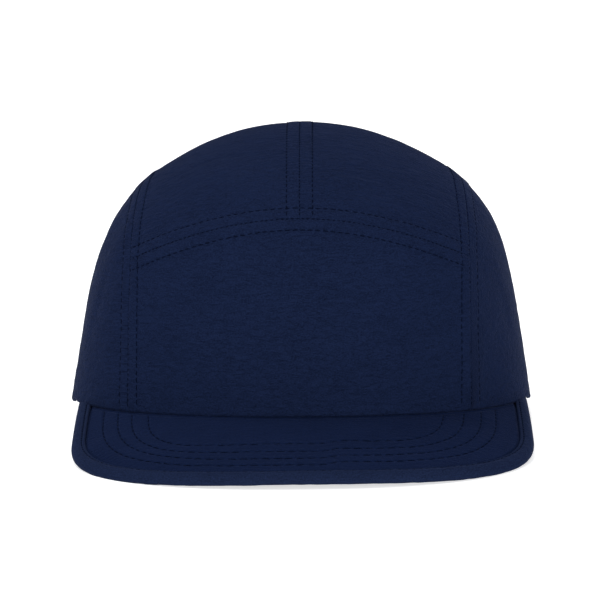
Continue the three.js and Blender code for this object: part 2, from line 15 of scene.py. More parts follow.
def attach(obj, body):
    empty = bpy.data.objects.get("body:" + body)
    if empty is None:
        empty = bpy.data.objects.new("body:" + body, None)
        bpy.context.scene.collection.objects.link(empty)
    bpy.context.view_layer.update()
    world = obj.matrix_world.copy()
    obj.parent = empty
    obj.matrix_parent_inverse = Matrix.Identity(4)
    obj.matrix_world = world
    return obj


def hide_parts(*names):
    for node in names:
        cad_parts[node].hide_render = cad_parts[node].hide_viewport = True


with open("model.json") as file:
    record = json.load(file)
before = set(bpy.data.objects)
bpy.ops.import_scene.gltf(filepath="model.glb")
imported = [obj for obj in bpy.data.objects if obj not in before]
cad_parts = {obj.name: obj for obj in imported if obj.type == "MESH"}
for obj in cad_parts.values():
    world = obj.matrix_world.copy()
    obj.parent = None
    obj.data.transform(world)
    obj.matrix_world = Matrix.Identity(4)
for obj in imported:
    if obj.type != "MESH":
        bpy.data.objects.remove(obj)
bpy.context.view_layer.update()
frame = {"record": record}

# How the cap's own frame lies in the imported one.
REST_MOUNT = next(m for m in frame["record"]["mounts"] if m["name"] == "rest_rim")
REST_TILT = math.atan2(-REST_MOUNT["axis"][1], -REST_MOUNT["axis"][2])
CAP_ORIGIN = (0, 29.558, 8.941)
MM = 0.001

# Sizes of the crown, from the upright axis through its top and from the peak's seam up.
CROWN_WIDTH = 175.6
CROWN_FRONT = 99
CROWN_BACK = 94
CROWN_HEIGHT = 103
PANEL_CLOTH = 1.5
RIM_RISE = 1
RIM_DROP = 3
RIM_DROP_BEHIND = 3
RIM_DROP_RUN = 18
SEAM_HALF_FRONT = 64
SEAM_HALF_TOP = 60.6
SEAM_HALF_BACK = 54
ARCH_MIDDLE = 72
ARCH_SIDE = 55
OPENING_HALF_WIDTH = 38
OPENING_HEIGHT = 40

# Sizes of the peak and its binding.
PEAK_REACH = 56.1
PEAK_WIDEST_BEHIND = 11.4
PEAK_SIDE_INSET = 2.6
PEAK_SIDE_TAPER = 1.5
PEAK_CORNERS = 2.36
PEAK_DROOP_FRONT = 15.5
PEAK_DROOP_SIDE = 28
PEAK_DROOP_SIDE_AT = 75
PEAK_SHIFT = 0.8
PEAK_SKEW = 0.026
PEAK_END_TAPER = 16
PEAK_SEAT = 0.5
PEAK_THICKNESS = 2.8
BINDING_WIDTH = 5.1
BINDING_LEAST_WIDTH = 1.9
BINDING_THICKNESS = 4.6
BINDING_DOWN = 1.15

# Sizes of the band, the strap and the slide.
BAND_HEIGHT = 30
BAND_CLOTH = 1.4
STRAP_WIDTH = 19
STRAP_CLOTH = 1.3
STRAP_OVERLAP = 18
STRAP_BOTTOM = 1.1
SLIDE_LENGTH = 27
SLIDE_THICKNESS = 2.2
SLIDE_RAIL = 2.8
SLIDE_BAR = 3.4
SLIDE_CORNER = 3
SLIDE_EDGE = 0.45
CLEARANCE = 0.3

# The sewing: the topstitches run beside each seam, and in rows inside the edge of the peak.
TOPSTITCH_BESIDE = 4.8
HEM_STITCH_INSIDE = 5
BINDING_STITCH_INSIDE = 3.9
STITCH_PITCH = 2.75
SEAM_STITCH_PITCH = 1.9
PEAK_STITCH_PITCH = 4.1
STITCH_GAP = 0.55
STITCH_RADIUS = 0.23

# The rows of stitches on the peak, from the outermost in: half the width of each, how far it reaches
# before the crown, its squareness, and its shift towards +X. All step back beside the middle.
ROW_HALF_WIDTHS = (72.8, 67.3, 61.5, 54.6)
ROW_REACHES = (44.7, 38.5, 31.9, 24.8)
ROW_SQUARENESS = (2.7, 2.8, 3.05, 3.6)
ROW_SHIFTS = (-0.4, -0.4, -1, -1.7)
ROW_WIDEST_BEHIND = 24.3
ROW_STEP = 3
ROW_STEP_FROM = 7
ROW_STEP_OVER = 8

# Level sections of the crown from the rim to the top. Height is a share of CROWN_HEIGHT, width of
# half CROWN_WIDTH, front of CROWN_FRONT and back of CROWN_BACK. A squareness of 2 is an ellipse.
CROWN_SECTIONS = {
    "height": (0, 0.194, 0.388, 0.563, 0.69, 0.796, 0.874, 0.937, 0.981, 1),
    "width": (1, 0.962, 0.923, 0.867, 0.791, 0.68, 0.544, 0.388, 0.218, 0),
    "front": (1, 0.975, 0.938, 0.892, 0.826, 0.724, 0.594, 0.432, 0.25, 0),
    "back": (1, 0.997, 0.985, 0.948, 0.878, 0.765, 0.618, 0.448, 0.26, 0),
    "squareness": (2.24, 2.24, 2.24, 2.22, 2.18, 2.12, 2.06, 2.02, 2, 2),
}
LAST_SECTION = len(CROWN_SECTIONS["height"]) - 1
HALF_WIDTH = CROWN_WIDTH / 2

random = np.random.RandomState(7)


# Small helpers

# The least length that anything is divided by, and how often a search halves its stretch.
TINY = 1e-6
HALVINGS = 34


def smooth(share):
    s = np.clip(share, 0, 1)
    return s * s * (3 - 2 * s)


def power(value, exponent):
    return np.sign(value) * np.abs(value) ** exponent


def bell(distance, width):
    return np.exp(-((distance / width) ** 2))


def unit(vectors):
    """The same directions as these vectors', with a length of 1."""
    return vectors / np.linalg.norm(vectors, axis=-1, keepdims=True)


def last_within(inside, outside, within):
    """The last place from inside to outside for which a test holds, found by halving."""
    for _ in range(HALVINGS):
        tried = (inside + outside) / 2
        held = within(tried)
        inside, outside = np.where(held, tried, inside), np.where(held, outside, tried)
    return inside


def placed(points):
    """Points of the cap's own frame, in millimetres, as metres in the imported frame."""
    points = np.asarray(points, float).reshape(-1, 3)
    cos, sin = math.cos(REST_TILT), math.sin(REST_TILT)
    y = points[:, 1] * cos + points[:, 2] * sin + CAP_ORIGIN[1]
    z = -points[:, 1] * sin + points[:, 2] * cos + CAP_ORIGIN[2]
    return np.stack([points[:, 0] + CAP_ORIGIN[0], y, z], 1) * MM


def arc_lengths(points):
    """The distance along a line of points, from its first."""
    steps = np.linalg.norm(np.diff(points, axis=0), axis=1)
    return np.concatenate([[0], np.cumsum(steps)])


def resampled(points, along):
    """The places on a line of points at these distances along it."""
    at = arc_lengths(points)
    return np.stack([np.interp(along, at, points[:, k]) for k in range(points.shape[1])], 1)


def evenly(points, count):
    """This many places on a line of points, evenly spaced."""
    return resampled(points, np.linspace(0, arc_lengths(points)[-1], count))


def graded(count, fine=0.35):
    """Shares from 0 to 1 that lie closer together at both ends."""
    t = np.linspace(-1, 1, count)
    spread = fine * t + (1 - fine) * np.sin(t * math.pi / 2)
    return 0.5 + 0.5 * spread / spread[-1]


class Noise:
    """Smooth noise from -1 to 1 over a plane, the same at each run."""

    def __init__(self, seed):
        self.table = np.random.RandomState(seed).uniform(-1, 1, (128, 128))

    def __call__(self, u, v):
        i, j = np.floor(u).astype(int), np.floor(v).astype(int)
        s, t = smooth(u - i), smooth(v - j)
        corner = [[self.table[(i + a) % 128, (j + b) % 128] for b in (0, 1)] for a in (0, 1)]
        near = corner[0][0] * (1 - s) + corner[1][0] * s
        far = corner[0][1] * (1 - s) + corner[1][1] * s
        return near * (1 - t) + far * t


class Nearest:
    """Finds how far points lie from a line of points, and how far along it the nearest place is."""

    def __init__(self, line, spacing=0.05):
        along = arc_lengths(line)
        self.along = np.linspace(0, along[-1], max(2, int(along[-1] / spacing)))
        self.points = resampled(line, self.along)
        self.tree = KDTree(len(self.points))
        for i, point in enumerate(self.points):
            self.tree.insert(self.three(point), i)
        self.tree.balance()

    @staticmethod
    def three(point):
        return (point[0], point[1], point[2] if len(point) > 2 else 0)

    def __call__(self, points):
        found = [self.tree.find(self.three(point)) for point in points]
        distance = np.array([f[2] for f in found])
        return distance, self.along[[f[1] for f in found]]


# The crown's surface


def column(name, place):
    """One column of the sections' table at any place along it, on a smooth curve."""
    values = np.array(CROWN_SECTIONS[name], float)
    turned = values[-2] if name in ("height", "squareness") else -values[-2]
    values = np.concatenate([[2 * values[0] - values[1]], values, [turned]])
    place = np.asarray(place, float)
    i = np.clip(np.floor(place).astype(int), 0, LAST_SECTION - 1)
    t = place - i
    a, b, c, d = values[i], values[i + 1], values[i + 2], values[i + 3]
    return b + 0.5 * t * (c - a + t * (2 * a - 5 * b + 4 * c - d + t * (3 * (b - c) + d - a)))


class Section:
    """The crown's level outline at places along the table."""

    def __init__(self, place):
        front = CROWN_FRONT * column("front", place)
        back = CROWN_BACK * column("back", place)
        self.place = np.asarray(place, float)
        self.height = CROWN_HEIGHT * column("height", place)
        self.half_width = HALF_WIDTH * column("width", place)
        self.half_length = (front + back) / 2
        self.middle = (back - front) / 2
        self.n = column("squareness", place)

    def shares(self, x, y):
        """Distances from the outline's middle, as shares of its half width and half length."""
        across = np.abs(x) / np.maximum(self.half_width, TINY)
        ahead = np.abs(y - self.middle) / np.maximum(self.half_length, TINY)
        return np.clip(across, 0, 1), np.clip(ahead, 0, 1)

    def y_at(self, x, side):
        """Where the outline has this x, on the front, -1, or the back, 1."""
        across, _ = self.shares(x, 0)
        return self.middle + side * self.half_length * (1 - across**self.n) ** (1 / self.n)

    def x_at(self, y):
        _, ahead = self.shares(0, y)
        return self.half_width * (1 - ahead**self.n) ** (1 / self.n)

    def angle(self, x, y):
        """The angle round from the front at a point of the outline."""
        across, ahead = self.shares(x, y)
        backwards = ahead ** (self.n / 2) * np.sign(y - self.middle)
        return np.arctan2(across ** (self.n / 2), -backwards)

    def point(self, angle, inset=0):
        """The plan point at an angle round from the front towards +X, inset from the outline."""
        across = power(np.sin(angle), 2 / self.n)
        ahead = power(np.cos(angle), 2 / self.n)
        normal_x = power(across, self.n - 1) / self.half_width
        normal_y = -power(ahead, self.n - 1) / self.half_length
        length = np.hypot(normal_x, normal_y)
        x = self.half_width * across - inset * normal_x / length
        y = self.middle - self.half_length * ahead - inset * normal_y / length
        return np.stack(np.broadcast_arrays(x, y), -1)


rim_section = Section(0)
rim_angles = np.linspace(-math.pi, math.pi, 4001)
rim_line = rim_section.point(rim_angles)
near_rim = Nearest(rim_line)


def rim_foot(plan):
    """The angle round the rim of the place nearest each plan point, and the distance to it, which
    is negative inside the rim."""
    distance, along = near_rim(plan)
    angle = np.interp(along, arc_lengths(rim_line), rim_angles)
    across = np.abs(plan[:, 0] / HALF_WIDTH) ** rim_section.n
    ahead = np.abs((plan[:, 1] - rim_section.middle) / rim_section.half_length) ** rim_section.n
    return angle, np.where(across + ahead < 1, -distance, distance)


def peak_edge_plan():
    """The plan of the peak's outer edge, from its right end round the front to its left end."""
    widest = HALF_WIDTH - PEAK_SIDE_INSET
    widest_y = PEAK_WIDEST_BEHIND - CROWN_FRONT
    depth = PEAK_REACH + PEAK_WIDEST_BEHIND
    turn = np.linspace(0, math.pi / 2, 400)
    front_x = widest * power(np.sin(turn), 2 / PEAK_CORNERS)
    front_y = widest_y - depth * power(np.cos(turn), 2 / PEAK_CORNERS)
    share = np.linspace(0, 1, 400)[1:]
    side_x = widest - PEAK_SIDE_TAPER * share**2
    side_y = widest_y * (1 - share)
    half = np.stack([np.append(front_x, side_x), np.append(front_y, side_y)], 1)
    half = half[rim_foot(half)[1] > -0.7]
    edge = np.concatenate([half[:0:-1] * [-1, 1], half])
    edge[:, 1] += PEAK_SKEW * edge[:, 0]
    return edge + [PEAK_SHIFT, 0]


peak_edge = peak_edge_plan()
peak_length = arc_lengths(peak_edge)[-1]
peak_end_angle = rim_foot(peak_edge[-1:])[0][0]
near_peak_edge = Nearest(peak_edge)


def rim_height(angle):
    rise = RIM_RISE * np.maximum(0, np.cos(angle)) ** 2
    turn = np.abs(np.arctan2(np.sin(angle), np.cos(angle)))
    behind = (turn - peak_end_angle) * HALF_WIDTH - RIM_DROP_BEHIND
    return rise - RIM_DROP * smooth(behind / RIM_DROP_RUN)


def crown_point(section, x, y):
    """Points of the crown's outer face, where x and y lie on the outlines of the section."""
    rim = rim_height(section.angle(x, y))
    return np.stack([x, y, section.height + rim * (1 - smooth(section.place))], -1)


# The sections at close places, looked up by height.
table = Section(np.linspace(-0.3, LAST_SECTION, 8000))


def fullness(x, y, height):
    """1 on the crown's outer face and less inside it, at a height on a crown with a level rim."""
    half_width = np.interp(height, table.height, table.half_width)
    half_length = np.interp(height, table.height, table.half_length)
    middle = np.interp(height, table.height, table.middle)
    n = np.interp(height, table.height, table.n)
    across = np.abs(x) / np.maximum(half_width, TINY)
    ahead = np.abs(y - middle) / np.maximum(half_length, TINY)
    return across**n + ahead**n


def levelled(points):
    """Points of the crown, moved down or up to where a level rim would have them."""
    x, y, z = points.T
    height = z
    for _ in range(6):
        section = Section(np.interp(height, table.height, table.place))
        height = z - rim_height(section.angle(x, y)) * (1 - smooth(section.place))
    return np.stack([x, y, height], 1)


def fullness_slope(level_points, step=0.05):
    slope = []
    for offset in np.eye(3) * step:
        ahead = fullness(*(level_points + offset).T)
        slope.append((ahead - fullness(*(level_points - offset).T)) / (2 * step))
    return np.stack(slope, 1)


def onto_crown(points):
    """Points moved onto the crown's outer face, and the directions out of it there."""
    for _ in range(3):
        level_points = levelled(points)
        slope = fullness_slope(level_points)
        over = fullness(*level_points.T) - 1
        points = points - (over / (slope**2).sum(1))[:, None] * slope
    return points, unit(fullness_slope(levelled(points)))


def place_at_height(height, angle):
    """The place along the table where the crown has this height, over the rim at this angle."""
    rim = rim_height(angle)

    def below(place):
        return CROWN_HEIGHT * column("height", place) + rim * (1 - smooth(place)) < height

    return last_within(-1, LAST_SECTION, below)


def wall_point(height, angle, inset):
    """Points on the crown's wall, inset level from its outer face."""
    plan = Section(place_at_height(height, angle)).point(angle, inset)
    return np.concatenate([plan, np.broadcast_to(height, plan.shape[:-1])[..., None]], -1)


def seam_half(y):
    """Half the width between the long seams at a distance along the cap."""
    front_y, back_y = -CROWN_FRONT * 0.72, CROWN_BACK * 0.8
    at_front = y * (y - back_y) / (front_y * (front_y - back_y))
    at_top = (y - front_y) * (y - back_y) / (front_y * back_y)
    at_back = y * (y - front_y) / (back_y * (back_y - front_y))
    return SEAM_HALF_FRONT * at_front + SEAM_HALF_TOP * at_top + SEAM_HALF_BACK * at_back


def arch_height(x):
    return ARCH_MIDDLE - (ARCH_MIDDLE - ARCH_SIDE) * (x / SEAM_HALF_FRONT) ** 2


# How far the cap is from even: the seam on the wearer's left lies further in than the other, and
# the crown leans a little to that side.
LEFT_SEAM_INSET = 1.8
CROWN_LEAN = 1.15


def as_sewn(points):
    """Points of the even crown, moved to where they lie on the real one."""
    shape = points.shape
    points = points.reshape(-1, 3)
    out = unit(fullness_slope(levelled(points)))
    sideways = np.array([1, 0, 0]) - out[:, :1] * out
    inset = LEFT_SEAM_INSET * smooth(points[:, 0] / SEAM_HALF_TOP) * smooth((60 - points[:, 1]) / 60)
    points = points - inset[:, None] * sideways
    half_width = np.interp(points[:, 2], table.height, table.half_width)
    outer = np.minimum(1, np.abs(points[:, 0]) / np.maximum(half_width, 1)) ** 6
    rising = smooth((points[:, 2] - 20) / 55) * (1 - 0.8 * smooth((points[:, 2] - 85) / 19))
    points[:, 0] += CROWN_LEAN * rising * outer
    return points.reshape(shape)


# Lines over the crown, from which the panels are made


# Where the lines of the panels are drawn from: rays out of this point, as y and z.
RAYS_FROM = (-2.5, 30)


def strip_wall(share, side, samples=70):
    """The low stretch of a strip's line, from the rim up the front, -1, or the back, 1."""
    height = np.linspace(0, RAYS_FROM[1], samples)

    def within(y):
        return fullness(share * seam_half(y), y, height) < 1

    y = last_within(RAYS_FROM[0], RAYS_FROM[0] + side * 1.1 * CROWN_FRONT, within)
    section = Section(np.interp(height, table.height, table.place))
    return crown_point(section, share * seam_half(y), y)


def strip_top(share, samples=420):
    """The rest of a strip's line, from the front over the top to the back."""
    turn = np.linspace(0, math.pi, samples)

    def on_rays(reach):
        y, z = RAYS_FROM[0] - reach * np.cos(turn), RAYS_FROM[1] + reach * np.sin(turn)
        return np.stack([share * seam_half(y), y, z], 1)

    return on_rays(last_within(0, 1.3 * CROWN_HEIGHT, lambda reach: fullness(*on_rays(reach).T) < 1))


def strip_line(share):
    """The line at a share of the way from the middle to the long seam, from the rim at the front
    over the top to the rim at the back."""
    front, back = strip_wall(share, -1), strip_wall(share, 1)
    return np.vstack([front[:-1], strip_top(share), back[-2::-1]])


def strip_half(share, side):
    """The front, -1, or the back, 1, half of a strip's line, from the rim to the top."""
    line = strip_line(share)
    top = line[:, 2].argmax()
    return line[: top + 1] if side < 0 else line[: top - 1 : -1]


def cut_line(points, level, keep_above):
    """The part of a line of points that lies above, or below, where level changes sign."""
    value = level(points)
    above = value > 0
    if above.all() or not above.any():
        return points
    i = np.nonzero(above[1:] != above[:-1])[0][0]
    t = value[i] / (value[i] - value[i + 1])
    crossing = points[i] + t * (points[i + 1] - points[i])
    if above[i + 1] == keep_above:
        return np.vstack([crossing, points[i + 1 :]])
    return np.vstack([points[: i + 1], crossing])


def over_arch(points):
    return points[:, 2] - arch_height(points[:, 0])


# The level on the back where the top panels' lines start to bend round the opening, and how far
# from the opening's edge they turn to meet it.
BACK_LEVEL = 60
EDGE_APPROACH = 8
# How the top panels' lower edge is shared out: round the opening, down its side, and on the rim.
EDGE_ROUND = 0.52
EDGE_DOWN = 0.8

seam_ahead, seam_behind = strip_half(1, -1), strip_half(1, 1)


def back_edge(share):
    """A point, as x and z, of a top panel's lower edge at the back."""
    spring = OPENING_HEIGHT / 2
    if share < EDGE_ROUND:
        turn = share / EDGE_ROUND * math.pi / 2
        rise = (OPENING_HEIGHT - spring) * math.cos(turn)
        return OPENING_HALF_WIDTH * math.sin(turn), spring + rise
    seam_foot = seam_behind[0]
    if share < EDGE_DOWN:
        down = (share - EDGE_ROUND) / (EDGE_DOWN - EDGE_ROUND)
        return OPENING_HALF_WIDTH, spring + down * (-RIM_DROP - spring)
    out = (share - EDGE_DOWN) / (1 - EDGE_DOWN)
    return OPENING_HALF_WIDTH + out * (seam_foot[0] - OPENING_HALF_WIDTH), -RIM_DROP


def back_point(x, z):
    """Points of the crown's back at these x and z."""
    place = place_at_height(z, math.pi)
    section = Section(place)
    return np.stack([x, section.y_at(x, 1), z], -1)


def seam_x_behind(z):
    """How far out the long seam lies at a height on the back."""
    return np.interp(z, seam_behind[:, 2], seam_behind[:, 0])


def edge_approach(share, end):
    """The point, as x and z, from which a top panel's line runs to its end on the lower edge. The
    lines meet the edge nearly square, so that they don't cross."""
    if share < EDGE_ROUND:
        turn = share / EDGE_ROUND * math.pi / 2
        across = np.array([math.sin(turn) / OPENING_HALF_WIDTH, math.cos(turn) * 2 / OPENING_HEIGHT])
        return end + EDGE_APPROACH * unit(across)
    beyond = (share - EDGE_ROUND) / (1 - EDGE_ROUND)
    near_x = OPENING_HALF_WIDTH + EDGE_APPROACH
    z = end[1] + 1.5 * EDGE_APPROACH * smooth(beyond)
    return np.array([near_x + beyond * (seam_x_behind(z) - near_x), z])


def back_line(share, samples=120):
    """A top panel's line down the back, from BACK_LEVEL to the panel's lower edge: a curve with
    three control points. Its places across are shares of the way out to the seam."""
    end = np.array(back_edge(share))
    start = np.array([share * seam_x_behind(BACK_LEVEL), BACK_LEVEL])
    controls = np.array([start, edge_approach(share, end), end])
    t = np.linspace(0, 1, samples)
    weights = np.stack([(1 - t) ** 2, 2 * t * (1 - t), t**2])
    z = controls[:, 1] @ weights
    out = (controls[:, 0] / seam_x_behind(controls[:, 1])) @ weights
    return back_point(out * seam_x_behind(z), z)


# The least that a side panel's line rises, as a place along the table: at the panel's two ends.
LEAST_RISE = 0.004


def front_panel_line(share):
    """A line up the front panel, from the rim to the curved seam."""
    return cut_line(strip_half(share, -1), over_arch, keep_above=False)


def top_panel_line(share):
    """A line over a top panel, from the curved seam to the panel's lower edge at the back."""
    front = cut_line(strip_half(share, -1), over_arch, keep_above=True)
    back = cut_line(strip_half(share, 1), lambda p: p[:, 2] - BACK_LEVEL, keep_above=True)
    return np.vstack([front, back[::-1][1:], back_line(share)[1:]])


def side_panel_line(share, samples=160):
    """A line up a side panel at a share of the way along it, from the rim to the long seam."""
    y = seam_ahead[0, 1] + share * (seam_behind[0, 1] - seam_ahead[0, 1])
    top = last_within(0, LAST_SECTION, lambda place: Section(place).x_at(y) > seam_half(y))
    section = Section(np.linspace(0, max(top, LEAST_RISE), samples))
    return crown_point(section, section.x_at(y), np.full(samples, y))


# The seams, as lines on the smooth crown


def arch_seam():
    shares = np.linspace(-1, 1, 161)
    return np.array([front_panel_line(s)[-1] for s in shares])


def opening_edge():
    shares = np.linspace(0, EDGE_DOWN, 120)
    half = np.array([back_point(*(np.array([v]) for v in back_edge(s)))[0] for s in shares])
    return np.vstack([half[:0:-1] * [-1, 1, 1], half])


SEAMS = {
    "middle": as_sewn(top_panel_line(0)),
    "arch": as_sewn(arch_seam()),
    "left": as_sewn(strip_line(1)),
    "right": as_sewn(strip_line(-1)),
    "opening": opening_edge(),
}
near_seam = {name: Nearest(line) for name, line in SEAMS.items()}


# Cloth relief. Every height and depth is in millimetres from the smooth surface.

drift_noise, long_noise, short_noise, patch_noise = (Noise(seed) for seed in (11, 12, 13, 14))
swell_noise = Noise(21)
pucker_noise = Noise(31)
fold_noise = Noise(36)

# The crinkles' heights, and that of the slow swell under them.
LONG_RIPPLE = 0.11
SHORT_RIPPLE = 0.06
SWELL = 0.3

# The relief that the sewing makes: the turned-in cloth of a seam and of the hem, the seam's valley,
# the grooves under their topstitches, and the puckers beside those.
SEAM_RIDGE = 0.3
HEM_RIDGE = 0.25
SEAM_VALLEY = 0.36
SEAM_GROOVE = 0.2
HEM_GROOVE = 0.22
SEAM_PUCKER = 0.1
HEM_PUCKER = 0.08


def crinkles(across, along, strength=1.0):
    """Short shallow ripples that lie across the cloth, over a slow swell."""
    drift = 1.6 * drift_noise(across / 19, along / 15)
    long_ripple = LONG_RIPPLE * long_noise(across / 12 + drift, along / 3.1 + drift)
    short_ripple = SHORT_RIPPLE * short_noise(across / 5.5, along / 1.7 + drift)
    patches = 0.6 + 0.4 * patch_noise(across / 23, along / 17)
    swell = SWELL * swell_noise(across / 37, along / 29)
    return strength * patches * (long_ripple + short_ripple) + swell


def seam_ridge(distance):
    """The rise of the turned-in cloth between a seam's topstitches."""
    return SEAM_RIDGE * (1 - smooth((distance - TOPSTITCH_BESIDE + 0.6) / 1.5))


def seam_pull(distance, along, seed):
    """What the sewing draws down: the seam's valley, with its stitches, the grooves under the
    topstitches, and the puckers beside them."""
    in_stitch = 0.62 + 0.38 * np.cos(along * 2 * math.pi / SEAM_STITCH_PITCH)
    valley = SEAM_VALLEY * bell(distance, 0.36) * in_stitch
    groove = SEAM_GROOVE * bell(distance - TOPSTITCH_BESIDE, 0.45)
    drawn = SEAM_PUCKER * bell(distance - TOPSTITCH_BESIDE, 3.4)
    return valley + groove + drawn * pucker_noise(along / 3.1 + seed, distance / 4.5 + seed)


def hem_relief(distance, along):
    """The relief beside the edge of the opening at the back."""
    past_stitches = distance - HEM_STITCH_INSIDE
    ridge = HEM_RIDGE * (1 - smooth((past_stitches + 0.4) / 1.2))
    pucker = HEM_PUCKER * bell(past_stitches, 3) * pucker_noise(along / 3.3, distance / 4)
    return ridge - HEM_GROOVE * bell(past_stitches, 0.5) + pucker


def grid_normals(grid):
    """The direction out of each point of a grid of points."""
    down, across = np.gradient(grid, axis=0), np.gradient(grid, axis=1)
    normals = np.cross(across, down)
    length = np.linalg.norm(normals, axis=-1, keepdims=True)
    return normals / np.maximum(length, 1e-9)


# Meshes


def added(name, mesh, material, node=None):
    """A mesh as a piece of the cap, with the given material. It stands for a node of the frame where
    it replaces one."""
    mesh.materials.clear()
    mesh.materials.append(material)
    piece = bpy.data.objects.new(name, mesh)
    bpy.context.scene.collection.objects.link(piece)
    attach(piece, "root")
    if node:
        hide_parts(node)
    return piece


def smooth_mesh(name, points, faces, cloth):
    """A smooth mesh. Its points are in the cap's own frame, in millimetres. cloth gives each
    point's place on the flat cloth."""
    mesh = bpy.data.meshes.new(name)
    mesh.from_pydata(placed(points).tolist(), [], faces)
    mesh.polygons.foreach_set("use_smooth", np.ones(len(mesh.polygons), bool))
    flat = np.zeros((len(cloth), 3), np.float32)
    flat[:, :2] = cloth * MM
    attribute = mesh.attributes.new("cloth", "FLOAT_VECTOR", "POINT")
    attribute.data.foreach_set("vector", flat.ravel())
    mesh.update()
    return mesh


def grid_faces(rows, columns, start=0, turned=False):
    index = start + np.arange(rows * columns).reshape(rows, columns)
    corners = [index[:-1, :-1], index[:-1, 1:], index[1:, 1:], index[1:, :-1]]
    faces = np.stack([c.ravel() for c in corners], 1)
    return faces[:, ::-1] if turned else faces


def shell(outer, inner):
    """One closed body between two grids of points. Its faces point out where the outer grid's
    normals do."""
    rows, columns = outer.shape[:2]
    count = rows * columns
    index = np.arange(count).reshape(rows, columns)
    loop = np.concatenate([index[0, :-1], index[:-1, -1], index[-1, :0:-1], index[:0:-1, 0]])
    after = np.roll(loop, -1)
    wall = np.stack([after, loop, loop + count, after + count], 1)
    faces = np.vstack([
        grid_faces(rows, columns),
        grid_faces(rows, columns, count, turned=True),
        wall,
    ])
    return np.concatenate([outer.reshape(-1, 3), inner.reshape(-1, 3)]), faces


def cloth_places(grid):
    """Each grid point's distance across and along the cloth, from arc lengths on the grid."""
    steps_along = np.linalg.norm(np.diff(grid, axis=1), axis=-1)
    along = np.concatenate([np.zeros((len(grid), 1)), np.cumsum(steps_along, 1)], 1)
    steps_across = np.linalg.norm(np.diff(grid, axis=0), axis=-1)
    across = np.concatenate([np.zeros((1, grid.shape[1])), np.cumsum(steps_across, 0)], 0)
    return across, along


def panel_grid(line, shares, rows):
    """A grid over a panel: one of its lines for each share, each with the same number of points."""
    lines = []
    for share in shares:
        points = line(share)
        length = arc_lengths(points)[-1]
        lines.append(resampled(points, length * rows))
    return np.array(lines)


def rounded_edge(distance, radius):
    """How far a round edge falls back from the face at a distance from the edge."""
    short = np.clip(radius - distance, 0, radius)
    return 0.7 * short**2 / radius


# How far from the opening's edge and from the rim the cloth starts to turn in.
EDGE_ROUNDING = 1.3
RIM_ROUNDING = 0.9

# How far the crown's edge comes down to the peak, to which it is sewn, and over what height.
HEM_DROP = 0.46
HEM_DROP_OVER = 4


def angle_round(points):
    """The angle round from the front towards +X at points of the crown's lower part."""
    ahead = -(points[..., 1] - rim_section.middle) / rim_section.half_length
    return np.arctan2(points[..., 0] / HALF_WIDTH, ahead)


def rim_distance(points):
    """How far points of the crown's lower part lie over the rim."""
    return points[..., 2] - rim_height(angle_round(points))


def over_peak(points):
    """1 where points of the crown's lower part are over the peak, fading to 0 past its ends."""
    return smooth((peak_end_angle - np.abs(angle_round(points))) / 0.06)


# How high the folds in the side panels stand.
SIDE_FOLD = 0.32


def upright_folds(points):
    """Soft folds that run up the sides beside the long seams."""
    flat = points.reshape(-1, 3)
    ahead = smooth((20 - flat[:, 1]) / 60)
    up = smooth((flat[:, 2] - 8) / 30) * (1 - smooth((flat[:, 2] - 70) / 15))
    folds = fold_noise(flat[:, 1] / 6.5 + flat[:, 2] / 30, flat[:, 2] / 34)
    return (SIDE_FOLD * ahead * up * folds).reshape(points.shape[:-1])


# Within this distance of a seam the cloth's own crinkles die away.
SEAM_CALM = 7


def crown_panel(node, line, shares, rows, seams, mirrored=False, offset=(0, 0), crinkled=1):
    """A panel of the crown: a grid of its lines, raised by the cloth's relief, as a closed shell.
    offset is where the panel lies on its sheet of cloth."""
    flat = panel_grid(line, shares, rows)
    if mirrored:
        flat = flat * [-1, 1, 1]
    flat = as_sewn(flat)
    normals = grid_normals(flat)
    from_middle = flat - [0, 0, CROWN_HEIGHT / 3]
    if (normals * from_middle).sum() < 0:
        flat = flat[::-1]
        normals = grid_normals(flat)
    across, along = cloth_places(flat)
    across, along = across + offset[0], along + offset[1]
    relief = crinkles(across, along, crinkled)
    if line is side_panel_line:
        relief = relief + upright_folds(flat)
    points = flat.reshape(-1, 3)
    ridge, sewn = np.zeros_like(relief), np.zeros_like(relief)
    nearest = np.full(relief.shape, float(SEAM_CALM))
    for seed, seam in enumerate(seams):
        distance, at = near_seam[seam](points)
        distance, at = distance.reshape(relief.shape), at.reshape(relief.shape)
        if seam == "opening":
            sewn = sewn + hem_relief(distance, at) - rounded_edge(distance, EDGE_ROUNDING)
        else:
            nearest = np.minimum(nearest, distance)
            ridge = np.maximum(ridge, seam_ridge(distance))
            sewn = sewn - seam_pull(distance, at, seed * 7)
    relief = relief * smooth(nearest / SEAM_CALM) + sewn
    relief = relief + ridge - rounded_edge(rim_distance(flat), RIM_ROUNDING)
    outer = flat + normals * relief[..., None]
    inner = flat - normals * PANEL_CLOTH
    drop = HEM_DROP * (1 - smooth(rim_distance(flat) / HEM_DROP_OVER)) * over_peak(flat)
    outer[..., 2] -= drop
    inner[..., 2] -= drop
    verts, faces = shell(outer, inner)
    cloth = np.stack([across.ravel(), along.ravel()], 1)
    mesh = smooth_mesh(f"{node}_cloth", verts, faces, np.vstack([cloth, cloth]))
    return added(f"{node}_cloth", mesh, nylon, node)


# Materials

# The distance between the nylon's threads, drawn wide enough to show.
WEAVE_PITCH = 0.42


